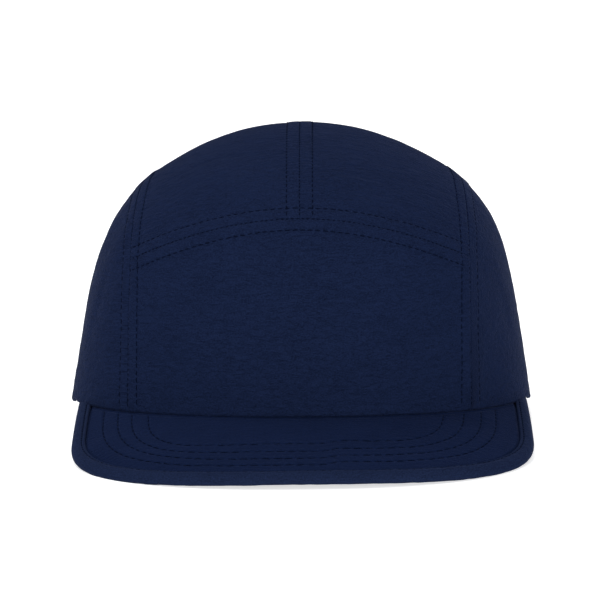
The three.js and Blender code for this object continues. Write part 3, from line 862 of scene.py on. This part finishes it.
def new_material(name, roughness, sheen=0, sheen_tint=(1, 1, 1)):
    """A material with a Principled shader, its node tree and the shader."""
    material = bpy.data.materials.new(name)
    material.use_nodes = True
    shader = material.node_tree.nodes["Principled BSDF"]
    shader.inputs["Roughness"].default_value = roughness
    shader.inputs["Specular IOR Level"].default_value = 0.0007
    shader.inputs["Sheen Weight"].default_value = sheen
    shader.inputs["Sheen Roughness"].default_value = 0.3
    shader.inputs["Sheen Tint"].default_value = (*sheen_tint, 1)
    return material, material.node_tree, shader


def fill(tree, node, inputs):
    """Sets a node's inputs, each to a value or to another node's output."""
    for name, value in inputs.items():
        if isinstance(value, bpy.types.NodeSocket):
            tree.links.new(value, node.inputs[name])
        else:
            node.inputs[name].default_value = value


def node_of(tree, kind, inputs, **settings):
    node = tree.nodes.new(kind)
    for key, value in settings.items():
        setattr(node, key, value)
    fill(tree, node, inputs)
    return node


def cloth_of(tree):
    """Each point's place on the flat cloth."""
    return node_of(tree, "ShaderNodeAttribute", {}, attribute_name="cloth").outputs["Vector"]


def noise_texture(tree, source, scale, detail=2, roughness=0.5, distortion=0):
    """Noise over a source's coordinates times a scale."""
    mapping = node_of(tree, "ShaderNodeMapping", {"Vector": source, "Scale": scale})
    inputs = {"Vector": mapping.outputs["Vector"], "Scale": 1, "Detail": detail}
    inputs.update({"Roughness": roughness, "Distortion": distortion})
    return node_of(tree, "ShaderNodeTexNoise", inputs).outputs["Fac"]


def wave_texture(tree, source, direction, scale, distortion=0):
    inputs = {"Vector": source, "Scale": scale, "Distortion": distortion}
    settings = {"wave_type": "BANDS", "bands_direction": direction}
    return node_of(tree, "ShaderNodeTexWave", inputs, **settings).outputs["Fac"]


def ramp(tree, source, dark, light):
    """Colours from dark to light, each given as where it starts or ends and the colour."""
    node = node_of(tree, "ShaderNodeValToRGB", {"Fac": source})
    for element, (at, colour) in zip(node.color_ramp.elements, (dark, light)):
        element.position = at
        element.color = (*colour, 1)
    return node.outputs["Color"]


def bump(tree, height, distance, strength, under=None):
    """The normals of a surface with this relief, over the relief under it."""
    inputs = {"Height": height, "Distance": distance, "Strength": strength}
    if under:
        inputs["Normal"] = under
    return node_of(tree, "ShaderNodeBump", inputs).outputs["Normal"]


def calculated(tree, operation, first, second=0):
    return node_of(tree, "ShaderNodeMath", {0: first, 1: second}, operation=operation).outputs["Value"]


def weighted_sum(tree, parts):
    """The sum of some outputs, each times its weight."""
    terms = [calculated(tree, "MULTIPLY", part, weight) for part, weight in parts]
    total = terms[0]
    for term in terms[1:]:
        total = calculated(tree, "ADD", total, term)
    return total


def map_range(tree, source, from_max, to_min, to_max):
    """A source's values from 0 to from_max, as values from to_min to to_max."""
    inputs = {"Value": source, "From Min": 0, "From Max": from_max, "To Min": to_min, "To Max": to_max}
    return node_of(tree, "ShaderNodeMapRange", inputs).outputs["Result"]


def weave_height(tree, places, pitch):
    """Threads that cross over and under each other, a pitch apart."""
    scale = 0.314 / (pitch * MM)
    across, along = (wave_texture(tree, places, direction, scale) for direction in ("X", "Y"))
    return calculated(tree, "ADD", across, along)


def creases(tree, cloth, scale, width):
    """Thin creases: 0 in the crease and 1 beside it."""
    noise = noise_texture(tree, cloth, scale, 3, 0.6, 0.9)
    beside_crease = calculated(tree, "ABSOLUTE", calculated(tree, "SUBTRACT", noise, 0.5))
    return map_range(tree, beside_crease, width, 0, 1)


def nylon_material(name, shade, crinkle):
    """Thin woven nylon with fine crinkles that lie across it. Its colour varies at random in broad
    patches and with the weave. It is painted lighter on the fine grain and on the ripples' crests, as
    painted glints of threads catching the light, and painted darker in the creases, as painted shade."""
    material, tree, shader = new_material(name, 0.5, 0.042, (0.4, 0.5, 1.0))
    cloth = cloth_of(tree)
    broad = noise_texture(tree, cloth, (38, 55, 1), 3)
    grain = noise_texture(tree, cloth, (1500, 2100, 1), 2, 0.6)
    ripple = noise_texture(tree, cloth, (270, 680, 1), 3, 0.6, 0.7)
    crease = creases(tree, cloth, (185, 540, 1), 0.055)
    weave = weave_height(tree, cloth, WEAVE_PITCH)
    # The tone mixes random broad patches and the weave with painted glints on the grain and the
    # ripples' crests, and painted shade in the creases.
    parts = [(grain, 1), (ripple, 0.22), (broad, 0.12), (weave, 0.06), (crease, 0.17 * crinkle)]
    tone_and_painted_light = weighted_sum(tree, parts)
    dark = [0.54 * c for c in shade]
    light = [1.5 * c for c in shade]
    normal = bump(tree, ripple, 1.1 * MM, crinkle)
    normal = bump(tree, crease, 0.16 * MM, 0.6 * crinkle, normal)
    normal = bump(tree, grain, 0.12 * MM, 0.5, normal)
    normal = bump(tree, weave, 0.03 * MM, 0.3, normal)
    colour = ramp(tree, tone_and_painted_light, (0.53, dark), (1.09, light))
    rough = map_range(tree, grain, 1, 0.4, 0.6)
    fill(tree, shader, {"Base Color": colour, "Normal": normal, "Roughness": rough})
    return material


def thread_material():
    """Polyester sewing thread, two plies twisted together."""
    material, tree, shader = new_material("thread", 0.45, 0.01, (0.7, 0.8, 1.0))
    twist = wave_texture(tree, cloth_of(tree), "DIAGONAL", 600)
    colour = ramp(tree, twist, (0.1, (0.0012, 0.0024, 0.0075)), (0.8, (0.0035, 0.0065, 0.02)))
    fill(tree, shader, {"Base Color": colour, "Normal": bump(tree, twist, 0.08 * MM, 0.6)})
    return material


def twill_material():
    """Matte cotton twill: fine slanting ribs."""
    material, tree, shader = new_material("band_twill", 0.85, 0.01, (0.7, 0.75, 0.9))
    cloth = cloth_of(tree)
    ribs = wave_texture(tree, cloth, "DIAGONAL", 420, 0.6)
    broad = noise_texture(tree, cloth, (90, 90, 1), 4)
    colour = ramp(tree, broad, (0.25, (0.0055, 0.0105, 0.033)), (0.75, (0.0085, 0.0155, 0.046)))
    fill(tree, shader, {"Base Color": colour, "Normal": bump(tree, ribs, 0.12 * MM, 0.5)})
    return material


def webbing_material():
    """Flat webbing: ribs across the strap, each of two turned threads."""
    material, tree, shader = new_material("webbing", 0.6, 0.01, (0.65, 0.75, 1.0))
    cloth = cloth_of(tree)
    ribs = wave_texture(tree, cloth, "X", 320)
    height = calculated(tree, "ADD", ribs, wave_texture(tree, cloth, "Y", 210))
    colour = ramp(tree, ribs, (0.2, (0.0045, 0.0085, 0.026)), (0.8, (0.009, 0.0165, 0.05)))
    fill(tree, shader, {"Base Color": colour, "Normal": bump(tree, height, 0.2 * MM, 0.7)})
    return material


def plastic_material():
    """Moulded plastic with a fine grain."""
    material, tree, shader = new_material("slide_plastic", 0.4)
    places = node_of(tree, "ShaderNodeTexCoord", {}).outputs["Object"]
    grain = noise_texture(tree, places, (2600, 2600, 2600), 3)
    broad = noise_texture(tree, places, (120, 120, 120), 2)
    colour = ramp(tree, broad, (0.3, (0.0055, 0.007, 0.013)), (0.7, (0.0085, 0.011, 0.019)))
    rough = map_range(tree, broad, 1, 0.32, 0.5)
    normal = bump(tree, grain, 0.04 * MM, 0.4)
    fill(tree, shader, {"Base Color": colour, "Normal": normal, "Roughness": rough})
    return material


def floor_material():
    """Pale paint, so bright that the floor shows plain white."""
    material, tree, shader = new_material("floor_paint", 0.9)
    white = (1, 1, 1, 1)
    pale = (0.72, 0.72, 0.73, 1)
    fill(tree, shader, {"Base Color": pale, "Emission Color": white, "Emission Strength": 0.64})
    return material


nylon = nylon_material("crown_nylon", (0.0063, 0.0111, 0.0328), 0.8)
# The peak's nylon is the crown's cloth painted darker, as painted shade on the peak, with weaker
# crinkles.
peak_nylon_painted_shade = nylon_material("peak_nylon_painted_shade", (0.005, 0.0098, 0.0325), 0.3)
# The tape's nylon is painted lighter, as a painted sheen on the binding's rounded roll, with weaker
# crinkles.
tape_nylon_painted_sheen = nylon_material("tape_nylon_painted_sheen", (0.0088, 0.0145, 0.039), 0.3)
thread = thread_material()
twill = twill_material()
webbing = webbing_material()
plastic = plastic_material()


# The crown


def build_crown():
    both_sides = 2 * graded(230) - 1
    seams = ["arch", "left", "right"]
    pieces = [crown_panel("front_panel", front_panel_line, both_sides, graded(130), seams)]
    for word, mirrored in (("left", False), ("right", True)):
        seams = ["middle", "arch", word, "opening"]
        offset = (310, 0) if mirrored else (140, 0)
        shares, rows = graded(104), graded(300, 0.6)
        node = f"top_panel_{word}"
        pieces.append(crown_panel(node, top_panel_line, shares, rows, seams, mirrored, offset, 1.6))
        offset = (730, 60) if mirrored else (510, 60)
        shares, rows = graded(200, 0.6), graded(125)
        node = f"side_panel_{word}"
        pieces.append(crown_panel(node, side_panel_line, shares, rows, [word], mirrored, offset, 1.3))
    return pieces


# Stitches


def stitch_template(rings=5, sides=6):
    """A stitch along x from 0 to 1, round in y and z from -1 to 1, and its faces."""
    points, faces = [], []
    for i in range(rings):
        t = (i + 0.5) / rings
        girth = math.sin(math.pi * (0.12 + 0.76 * t)) ** 0.5
        for k in range(sides):
            turn = 2 * math.pi * k / sides
            points.append((t, girth * math.cos(turn), girth * math.sin(turn)))
    for i in range(rings - 1):
        for k in range(sides):
            a, b = i * sides + k, i * sides + (k + 1) % sides
            faces.append((a, b, b + sides, a + sides))
    points += [(0, 0, 0), (1, 0, 0)]
    first, last = rings * sides, rings * sides + 1
    for k in range(sides):
        b = (k + 1) % sides
        faces.append((first, b, k))
        faces.append((last, last - 1 - sides + k, last - 1 - sides + b))
    return np.array(points), faces


class Cover:
    """Finds the cloth over or under a point, among some pieces."""

    def __init__(self, pieces):
        verts, faces = [], []
        for piece in pieces:
            start = len(verts)
            verts += [v.co[:] for v in piece.data.vertices]
            faces += [[start + i for i in f.vertices] for f in piece.data.polygons]
        self.tree = BVHTree.FromPolygons(verts, faces)

    def height(self, points, normals, reach=3):
        """How far the cloth stands over each point, along the normals."""
        above = placed(points + normals * reach)
        down = placed(points) - above
        rays = zip(above.tolist(), down.tolist())
        fallen = [self.tree.ray_cast(start, ray, 2 * reach * MM)[3] for start, ray in rays]
        return np.array([0 if fall is None else reach - fall / MM for fall in fallen])


def stitched(name, rows, cover):
    """Rows of stitches as one piece. Each row is a line of points, the normals at them, and the
    stitches' pitch."""
    template, template_faces = stitch_template()
    points, faces, cloth = [], [], []
    for line, normals, pitch in rows:
        along_line = arc_lengths(line)
        count = int(along_line[-1] / pitch)
        starts = (np.arange(count) + 0.5) * (along_line[-1] / count) - (pitch - STITCH_GAP) / 2
        starts = starts + random.uniform(-0.08, 0.08, count)
        lengths = (pitch - STITCH_GAP) * random.uniform(0.9, 1.06, count)
        up = np.stack([np.interp(starts + lengths / 2, along_line, normals[:, k]) for k in range(3)], 1)
        first, last = resampled(line, starts), resampled(line, starts + lengths)
        first = first + up * cover.height(first, up)[:, None]
        last = last + up * cover.height(last, up)[:, None]
        along = last - first
        aside = unit(np.cross(up, along))
        lean = random.uniform(-0.12, 0.12, count)
        t, level, rise = template[:, 0:1], template[:, 1:2], template[:, 2:3]
        from_middle = 2 * t - 1
        height = 0.8 * STITCH_RADIUS * rise + 0.1 - 0.2 * from_middle**2
        for i in range(count):
            body = first[i] + t * along[i] + lean[i] * from_middle * aside[i]
            body = body + aside[i] * level * STITCH_RADIUS + up[i] * height
            start = len(points) * len(template)
            faces += [[start + k for k in face] for face in template_faces]
            points.append(body)
            cloth.append(np.hstack([t * pitch, level * 0.4]) + i * 3.7)
    added(name, smooth_mesh(name, np.vstack(points), faces, np.vstack(cloth)), thread)


# How far apart the points of a row of stitches on the crown are worked out.
ROW_POINT_SPACING = 1.2


def beside(line, distance, side):
    """A line on the crown at a distance beside another, and the directions out of the crown."""
    line = evenly(line, int(arc_lengths(line)[-1] / ROW_POINT_SPACING))
    _, normals = onto_crown(line)
    aside = unit(np.cross(normals, np.gradient(line, axis=0)))
    return onto_crown(line + side * distance * aside)


def kept(row, test):
    """The part of a row of stitches whose points pass a test."""
    line, normals = row
    inside = test(line)
    return line[inside], normals[inside]


# The peak


def peak_top(plan):
    """The height of the peak's smooth upper face over plan points."""
    angle, distance = rim_foot(plan)
    aside = np.minimum(1, np.abs(angle) / math.radians(PEAK_DROOP_SIDE_AT))
    droop = np.radians(PEAK_DROOP_FRONT + (PEAK_DROOP_SIDE - PEAK_DROOP_FRONT) * aside**2)
    return rim_height(angle) - PEAK_SEAT - np.tan(droop) * np.maximum(0, distance)


def inwards_from(plan):
    """The level directions that point inwards from a line in plan along the peak's edge."""
    tangent = unit(np.gradient(plan, axis=0))
    return np.stack([-tangent[:, 1], tangent[:, 0]], 1)


def edge_frames(count):
    """Places along the peak's edge, the directions inwards from them, and the binding's width."""
    edge = evenly(peak_edge, count)
    room = rim_foot(edge)[1] + PANEL_CLOTH + BAND_CLOTH
    width = np.minimum(BINDING_WIDTH, np.maximum(room, BINDING_LEAST_WIDTH))
    return edge, inwards_from(edge), width


def on_peak(plan):
    return np.column_stack([plan, peak_top(plan)])


def end_taper(along):
    """How thick the peak and its binding are along the edge: thinner towards the ends, which are
    sewn flat under the crown."""
    from_end = np.minimum(along, peak_length - along)
    return 0.35 + 0.65 * smooth(from_end / PEAK_END_TAPER)


class PeakRow:
    """A row of stitches on the peak: a squared curve whose straight ends run up to the crown."""

    def __init__(self, half_width, reach, squareness, shift):
        self.half_width, self.n, self.shift = half_width, squareness, shift
        self.widest_y = ROW_WIDEST_BEHIND - CROWN_FRONT
        self.depth = reach + ROW_WIDEST_BEHIND
        turn = np.linspace(-math.pi / 2, math.pi / 2, 500)
        x = half_width * power(np.sin(turn), 2 / squareness)
        y = self.widest_y - self.depth * power(np.cos(turn), 2 / squareness)
        leg = np.linspace(0, self.widest_y, 60)[:-1]
        x = np.concatenate([np.full(len(leg), -half_width), x, np.full(len(leg), half_width)]) + shift
        y = np.concatenate([leg, y, leg[::-1]])
        self.plan = np.stack([x, y + self.step(x)], 1)
        self.plan = self.plan[rim_foot(self.plan)[1] > 0.2]
        self.near = Nearest(on_peak(self.plan))
        self.length = self.near.along[-1]

    @staticmethod
    def step(x):
        return ROW_STEP * smooth((x - ROW_STEP_FROM) / ROW_STEP_OVER)

    def __call__(self, plan):
        """How far inside the row points of the peak lie, and how far along it."""
        distance, along = self.near(on_peak(plan))
        across = np.abs(plan[:, 0] - self.shift) / self.half_width
        ahead = np.maximum(0, self.widest_y + self.step(plan[:, 0]) - plan[:, 1]) / self.depth
        inside = across**self.n + ahead**self.n < 1
        return np.where(inside, distance, -distance), along


peak_rows = [PeakRow(*row) for row in zip(ROW_HALF_WIDTHS, ROW_REACHES, ROW_SQUARENESS, ROW_SHIFTS)]
wave_noise = Noise(41)
slow_noise = Noise(42)

# The grooves under the peak's rows of stitches and at its joint with the crown, its slow swell, and
# the wrinkles at one of its corners, with the place of that corner.
ROW_GROOVE = 0.3
JOINT_GROOVE = 0.45
PEAK_SWELL = 0.12
CORNER_WRINKLES = 0.16
WRINKLED_CORNER = (-70, -120)


def peak_relief(plan):
    """The relief of the peak's cloth: the rows of stitches press grooves into it, and it puffs up
    beside each stitch, most of all in the middle of the front."""
    distance, along = near_peak_edge(plan)
    middle = bell(plan[:, 0] + 16, 36)
    slow = slow_noise(along / 17, distance / 13)
    wave = wave_noise(along / 3.4, distance / 5.2)
    sewn = 0
    for row in peak_rows:
        inside, at = row(plan)
        pitch = row.length / int(row.length / PEAK_STITCH_PITCH)
        puff = (0.5 - 0.5 * np.cos(2 * math.pi * at / pitch)) * bell(inside - 0.8, 0.6)
        pucker = bell(inside, 2.6) * wave
        sewn = sewn + (0.08 + 0.45 * middle) * puff + (0.05 + 0.05 * middle) * pucker
        sewn = sewn - ROW_GROOVE * bell(inside, 0.5)
    x, y = plan.T
    corner = bell(x - WRINKLED_CORNER[0], 13) * bell(y - WRINKLED_CORNER[1], 16)
    inside_edge = smooth((distance - 5.5) / 2) * (1 - smooth((distance - 9.5) / 3))
    wrinkles = CORNER_WRINKLES * corner * inside_edge * np.sin((x * 0.8 - y) * 2.1 + 2.5 * wave)
    from_crown = rim_foot(plan)[1]
    relief = (sewn + PEAK_SWELL * slow + wrinkles) * smooth((from_crown - 0.4) / 2)
    return relief - JOINT_GROOVE * bell(from_crown - 0.5, 0.8)


# How far the peak's cloth goes into the binding, and how far the binding presses it in there from
# above and below, from this distance before it.
BINDING_OVERLAP = 1.1
PRESSED_ABOVE = 0.9
PRESSED_BELOW = 0.6
PRESSED_OVER = 1.2


def build_peak():
    stations, rows = 420, 100
    edge, inwards, width = edge_frames(stations)
    angles = np.linspace(-peak_end_angle, peak_end_angle, 800)
    inner = evenly(rim_section.point(angles, PANEL_CLOTH + CLEARANCE + BAND_CLOTH), stations)
    outer = edge + inwards * (width - BINDING_OVERLAP)[:, None]
    shares = graded(rows, 0.5)
    plan = inner[:, None] + (outer - inner)[:, None] * shares[None, :, None]
    flat = plan.reshape(-1, 2)
    distance, along = near_peak_edge(flat)
    to_fold = BINDING_WIDTH - distance
    under_fold = smooth(1 + to_fold / PRESSED_OVER).reshape(stations, rows)
    relief = peak_relief(flat).reshape(stations, rows)
    top = on_peak(flat).reshape(stations, rows, 3)
    bottom = top.copy()
    taper = end_taper(along).reshape(stations, rows)
    top[..., 2] += relief - PRESSED_ABOVE * under_fold * taper
    bottom[..., 2] += 0.35 * relief - (PEAK_THICKNESS - PRESSED_BELOW * under_fold) * taper
    verts, faces = shell(top, bottom)
    mesh = smooth_mesh("peak_cloth", verts, faces, np.vstack([flat, flat + [0, 400]]))
    return added("peak_cloth", mesh, peak_nylon_painted_shade, "peak")


# How much the tape's upper face falls towards its inner edge for each millimetre, and how deep its
# stitches draw it in.
BINDING_SLOPE = 0.16
BINDING_GROOVE = 0.3


def build_binding():
    """The tape folded round the edge: it stands over the peak's cloth, is drawn in along its
    stitches, and its inner edge is turned under."""
    stations = 640
    edge, inwards, width = edge_frames(stations)
    along = np.linspace(0, peak_length, stations)
    half = BINDING_THICKNESS / 2
    upper = []
    for inset in np.linspace(BINDING_WIDTH, half, 22):
        fall = rounded_edge(BINDING_WIDTH - inset, 0.8) + BINDING_SLOPE * (inset - half)
        stitched_in = BINDING_GROOVE * bell(inset - BINDING_STITCH_INSIDE, 0.4)
        upper.append((inset, half - fall - stitched_in))
    turns = np.linspace(0, math.pi, 15)[1:-1]
    nose = [(half * (1 - math.sin(t)), half * math.cos(t)) for t in turns]
    lower = [(inset, -height) for inset, height in upper[::-1]]
    slot_end, slot_half = 1, PEAK_THICKNESS / 2 - 0.7
    mouth = BINDING_WIDTH - 0.05
    slot = [(mouth, -slot_half), (slot_end, -slot_half), (slot_end, slot_half), (mouth, slot_half)]
    profile = np.array(upper + nose + lower + slot)
    inset, height = profile.T[:, None]
    insets = inset * np.where(inset > slot_end, (width / BINDING_WIDTH)[:, None], 1)
    plan = edge[:, None] + inwards[:, None] * insets[..., None]
    wave = pucker_noise(along[:, None] / 2.9, insets / 3) * 0.05
    heights = height * (1 + wave * (inset > 0.4))
    base = peak_top(plan.reshape(-1, 2)).reshape(plan.shape[:2])
    taper = end_taper(along)[:, None]
    grid = np.concatenate([plan, (base + (heights - BINDING_DOWN) * taper)[..., None]], -1)
    size = len(profile)
    faces = grid_faces(stations, size, turned=True).tolist()
    for start in range(0, (stations - 1) * size, size):
        end = start + size - 1
        faces.append((end + size, start + size, start, end))
    faces.append(list(range(size)))
    faces.append(list(range((stations - 1) * size, stations * size))[::-1])
    girth = arc_lengths(profile)
    cloth = np.stack(np.broadcast_arrays(along[:, None], girth[None, :]), -1).reshape(-1, 2)
    mesh = smooth_mesh("peak_binding_tape", grid.reshape(-1, 3), faces, cloth + [0, 900])
    return added("peak_binding_tape", mesh, tape_nylon_painted_sheen, "peak_binding")


# The band, the strap and the slide


def angle_across(x):
    """The angle round from the front where the rim at the back has this x."""
    share = power(x / HALF_WIDTH, rim_section.n / 2)
    return math.pi - np.arcsin(share)


def strip_mesh(name, angles, heights, insets, across, shift=0):
    """A closed strip along the crown's wall, between a face and a back at these two insets. The
    cloth of its back lies aside by the shift."""
    face, back = (wall_point(heights, angles + 0 * heights, inset)[:, ::-1] for inset in insets)
    verts, faces = shell(face, back)
    across = np.broadcast_to(across, heights.shape)
    flat = np.stack([across, heights], -1)[:, ::-1].reshape(-1, 2)
    return smooth_mesh(name, verts, faces, np.vstack([flat, flat + shift]))


def build_band():
    stations, rows = 420, 22
    end = angle_across(OPENING_HALF_WIDTH + STRAP_OVERLAP + 2 * CLEARANCE)
    angles = np.linspace(-end, end, stations)[:, None]
    shares = graded(rows, 0.5)[None, :]
    low = rim_height(angles)
    heights = low + (BAND_HEIGHT - low) * shares
    sag = 0.35 * swell_noise(angles * HALF_WIDTH / 21, shares * 3) * shares
    seam = 0.25 * bell((shares - 0.16) * BAND_HEIGHT, 0.7)
    back = PANEL_CLOTH + CLEARANCE
    face = back + BAND_CLOTH + np.maximum(sag, -0.2) - seam
    across = angles * HALF_WIDTH
    mesh = strip_mesh("sweatband_twill", angles, heights, (face, back), across, 300)
    added("sweatband_twill", mesh, twill, "sweatband")


def strap_inset(x):
    """How far in from the crown's face the strap's middle lies: less where it passes over the
    slide's middle bar."""
    flat = PANEL_CLOTH + CLEARANCE + STRAP_CLOTH / 2
    outwards = SLIDE_THICKNESS + STRAP_CLOTH + 2 * CLEARANCE
    window = SLIDE_LENGTH / 2 - SLIDE_RAIL
    start = SLIDE_BAR / 2 + CLEARANCE
    return flat - outwards * (1 - smooth((np.abs(x) - start) / (window - start)))


def build_strap():
    stations, rows = 360, 15
    reach = OPENING_HALF_WIDTH + STRAP_OVERLAP
    s = np.linspace(1, -1, stations)
    x = reach * (0.45 * s + 0.55 * s**3)
    angles = (np.sign(x) * angle_across(np.abs(x)))[:, None]
    angles = np.where(x[:, None] == 0, math.pi, angles)
    shares = np.linspace(0, 1, rows)[None, :]
    heights = STRAP_BOTTOM + STRAP_WIDTH * shares + 0 * angles
    edge = np.minimum(shares, 1 - shares) * STRAP_WIDTH
    half = STRAP_CLOTH / 2 - rounded_edge(edge, 0.45)
    middle = strap_inset(x)[:, None]
    insets = (middle - half, middle + half)
    mesh = strip_mesh("back_strap_webbing", angles, heights, insets, x[:, None])
    added("back_strap_webbing", mesh, webbing, "back_strap")


def rounded_rectangle(half_x, half_z, radius, steps=6):
    points = []
    for quarter, (sx, sz) in enumerate(((1, 1), (-1, 1), (-1, -1), (1, -1))):
        for i in range(steps + 1):
            turn = (quarter + i / steps) * math.pi / 2
            x = sx * (half_x - radius) + radius * math.cos(turn)
            points.append((x, sz * (half_z - radius) + radius * math.sin(turn)))
    return points


def build_slide():
    """The slide's frame, with two windows and soft edges."""
    window_half = STRAP_WIDTH / 2 + CLEARANCE
    half_x, half_z = SLIDE_LENGTH / 2, window_half + SLIDE_RAIL
    window_width = half_x - SLIDE_RAIL - SLIDE_BAR / 2
    window_at = SLIDE_BAR / 2 + window_width / 2
    outline = rounded_rectangle(half_x, half_z, SLIDE_CORNER)
    window = rounded_rectangle(window_width / 2, window_half, 0.6)
    curve = bpy.data.curves.new("slide_outline", "CURVE")
    curve.dimensions = "2D"
    curve.fill_mode = "BOTH"
    curve.extrude = (SLIDE_THICKNESS / 2 - SLIDE_EDGE) * MM
    curve.bevel_depth = SLIDE_EDGE * MM
    curve.bevel_resolution = 3
    curve.offset = -SLIDE_EDGE * MM
    for points, shift in ((outline, 0), (window, -window_at), (window, window_at)):
        spline = curve.splines.new("POLY")
        spline.points.add(len(points) - 1)
        for point, (px, pz) in zip(spline.points, points):
            point.co = ((px + shift) * MM, pz * MM, 0, 1)
        spline.use_cyclic_u = True
    shape = bpy.data.objects.new("slide_outline", curve)
    bpy.context.scene.collection.objects.link(shape)
    bpy.context.view_layer.update()
    mesh = bpy.data.meshes.new_from_object(shape.evaluated_get(bpy.context.evaluated_depsgraph_get()))
    bpy.data.objects.remove(shape)
    low = wall_point(np.array([STRAP_BOTTOM]), np.array([math.pi]), PANEL_CLOTH)[0]
    high = wall_point(np.array([STRAP_BOTTOM + STRAP_WIDTH]), np.array([math.pi]), PANEL_CLOTH)[0]
    lean = math.atan2(low[1] - high[1], high[2] - low[2])
    middle = (low + high) / 2 + [0, SLIDE_THICKNESS / 2, 0]
    turn = Matrix.Rotation(math.pi / 2 + lean - REST_TILT, 4, "X")
    mesh.transform(Matrix.Translation(Vector(placed(middle)[0])) @ turn)
    added("strap_slide_plastic", mesh, plastic, "strap_slide")


# Where the stitches run


def over_rim(points):
    return rim_distance(points) > 0.9


def crown_stitch_rows():
    """The rows on and beside each seam of the crown, and the row inside the opening's edge."""
    rows = []
    clear = {
        "middle": lambda p: back_clear(p) & ((over_arch(p) > 0.3) | (p[:, 1] > 0)),
        "arch": within_front,
        "left": over_rim,
        "right": over_rim,
    }
    for seam, test in clear.items():
        rows.append((*kept(beside(SEAMS[seam], 0, 1), test), SEAM_STITCH_PITCH))
        for side in (-1, 1):
            rows.append((*kept(beside(SEAMS[seam], TOPSTITCH_BESIDE, side), test), STITCH_PITCH))
    hem = beside(SEAMS["opening"], HEM_STITCH_INSIDE, opening_side())
    rows.append((*kept(hem, over_rim), STITCH_PITCH))
    return rows


def within_front(points):
    inset = LEFT_SEAM_INSET * (points[:, 0] > 0)
    return np.abs(points[:, 0]) < seam_half(points[:, 1]) - inset - 0.4


def back_clear(points):
    distance, _ = near_seam["opening"](points)
    return distance > HEM_STITCH_INSIDE + 0.6


def opening_side():
    """The side of the opening's edge, as beside() counts it, on which the cloth lies."""
    tried, _ = beside(SEAMS["opening"], HEM_STITCH_INSIDE, 1)
    return 1 if tried[:, 2].max() > OPENING_HEIGHT + 2 else -1


def inside_edge_plan(distance):
    """The line at a distance inside the peak's edge, clear of the crown's wall."""
    edge = evenly(peak_edge, 700)
    plan = edge + distance * inwards_from(edge)
    plan = plan[near_peak_edge(plan)[0] > distance * 0.985]
    return plan[rim_foot(plan)[1] > 0.2]


def row_on_peak(plan, step=0.5):
    """A row of stitches over a line in plan: its points, and the directions out of the peak."""
    line = on_peak(plan)
    inwards = inwards_from(plan)
    slope = (peak_top(plan + step * inwards) - peak_top(plan)) / step
    normals = np.cross(np.gradient(line, axis=0), np.column_stack([inwards, slope]))
    return line, unit(normals)


def build_stitches(crown, peak):
    stitched("crown_stitches", crown_stitch_rows(), Cover(crown))
    rows = [(*row_on_peak(row.plan), PEAK_STITCH_PITCH) for row in peak_rows]
    rows.append((*row_on_peak(inside_edge_plan(BINDING_STITCH_INSIDE)), STITCH_PITCH))
    stitched("peak_stitches", rows, Cover(peak))


# The stage

# The photo's view: its tilt over the cap's own level, its distance, its scale in pixels to the
# millimetre, and the point that it looks at.
VIEW_TILT = 5.0
VIEW_DISTANCE = 2200
VIEW_SCALE = 2.61
VIEW_TARGET = (-0.35, 0, 34.9)
VIEW_TURN = 0.25
VIEW_ROLL = 0.35
PHOTO_WIDTH = 600
SENSOR_WIDTH = 36


def build_camera():
    camera = bpy.data.cameras.new("camera")
    camera.sensor_width = SENSOR_WIDTH
    camera.lens = VIEW_SCALE * VIEW_DISTANCE / PHOTO_WIDTH * SENSOR_WIDTH
    camera.clip_end = 50
    tilt, turn = math.radians(VIEW_TILT), math.radians(VIEW_TURN)
    level = math.cos(tilt)
    away = np.array([level * math.sin(turn), -level * math.cos(turn), math.sin(tilt)]) * VIEW_DISTANCE
    eye, target = placed([np.array(VIEW_TARGET) + away, VIEW_TARGET])
    holder = bpy.data.objects.new("camera", camera)
    look = Vector(target - eye).to_track_quat("-Z", "Y").to_matrix().to_4x4()
    roll = Matrix.Rotation(math.radians(-VIEW_ROLL), 4, "Z")
    holder.matrix_world = Matrix.Translation(Vector(eye)) @ look @ roll
    bpy.context.scene.collection.objects.link(holder)
    bpy.context.scene.camera = holder


def soft_light(name, direction, strength, spread):
    """A wide soft light, as from a big softbox, that shines from a direction."""
    light = bpy.data.lights.new(name, "SUN")
    light.energy = strength
    light.angle = math.radians(spread)
    holder = bpy.data.objects.new(name, light)
    holder.rotation_euler = (-Vector(direction)).to_track_quat("-Z", "Y").to_euler()
    bpy.context.scene.collection.objects.link(holder)


def build_stage():
    mesh = bpy.data.meshes.new("floor")
    reach = 12
    corners = [(-reach, -reach, 0), (reach, -reach, 0), (reach, reach, 0), (-reach, reach, 0)]
    mesh.from_pydata(corners, [], [(0, 1, 2, 3)])
    mesh.materials.append(floor_material())
    floor = bpy.data.objects.new("floor", mesh)
    bpy.context.scene.collection.objects.link(floor)
    world = bpy.data.worlds.new("studio")
    world.use_nodes = True
    background = world.node_tree.nodes["Background"]
    background.inputs["Color"].default_value = (0.98, 0.99, 1, 1)
    background.inputs["Strength"].default_value = 0.42
    bpy.context.scene.world = world
    bpy.context.scene.view_settings.view_transform = "Standard"
    soft_light("key_light", (-0.15, -0.65, 1.2), 0.62, 34)
    soft_light("front_light", (0.2, -1, 0.14), 1.5, 20)
    soft_light("side_light", (-1, 0.3, 0.7), 0.5, 40)
    soft_light("top_light", (-0.3, 0.5, 1.2), 1.3, 40)


crown_pieces = build_crown()
peak_pieces = [build_peak(), build_binding()]
build_band()
build_strap()
build_slide()
build_stitches(crown_pieces, peak_pieces)
build_camera()
build_stage()
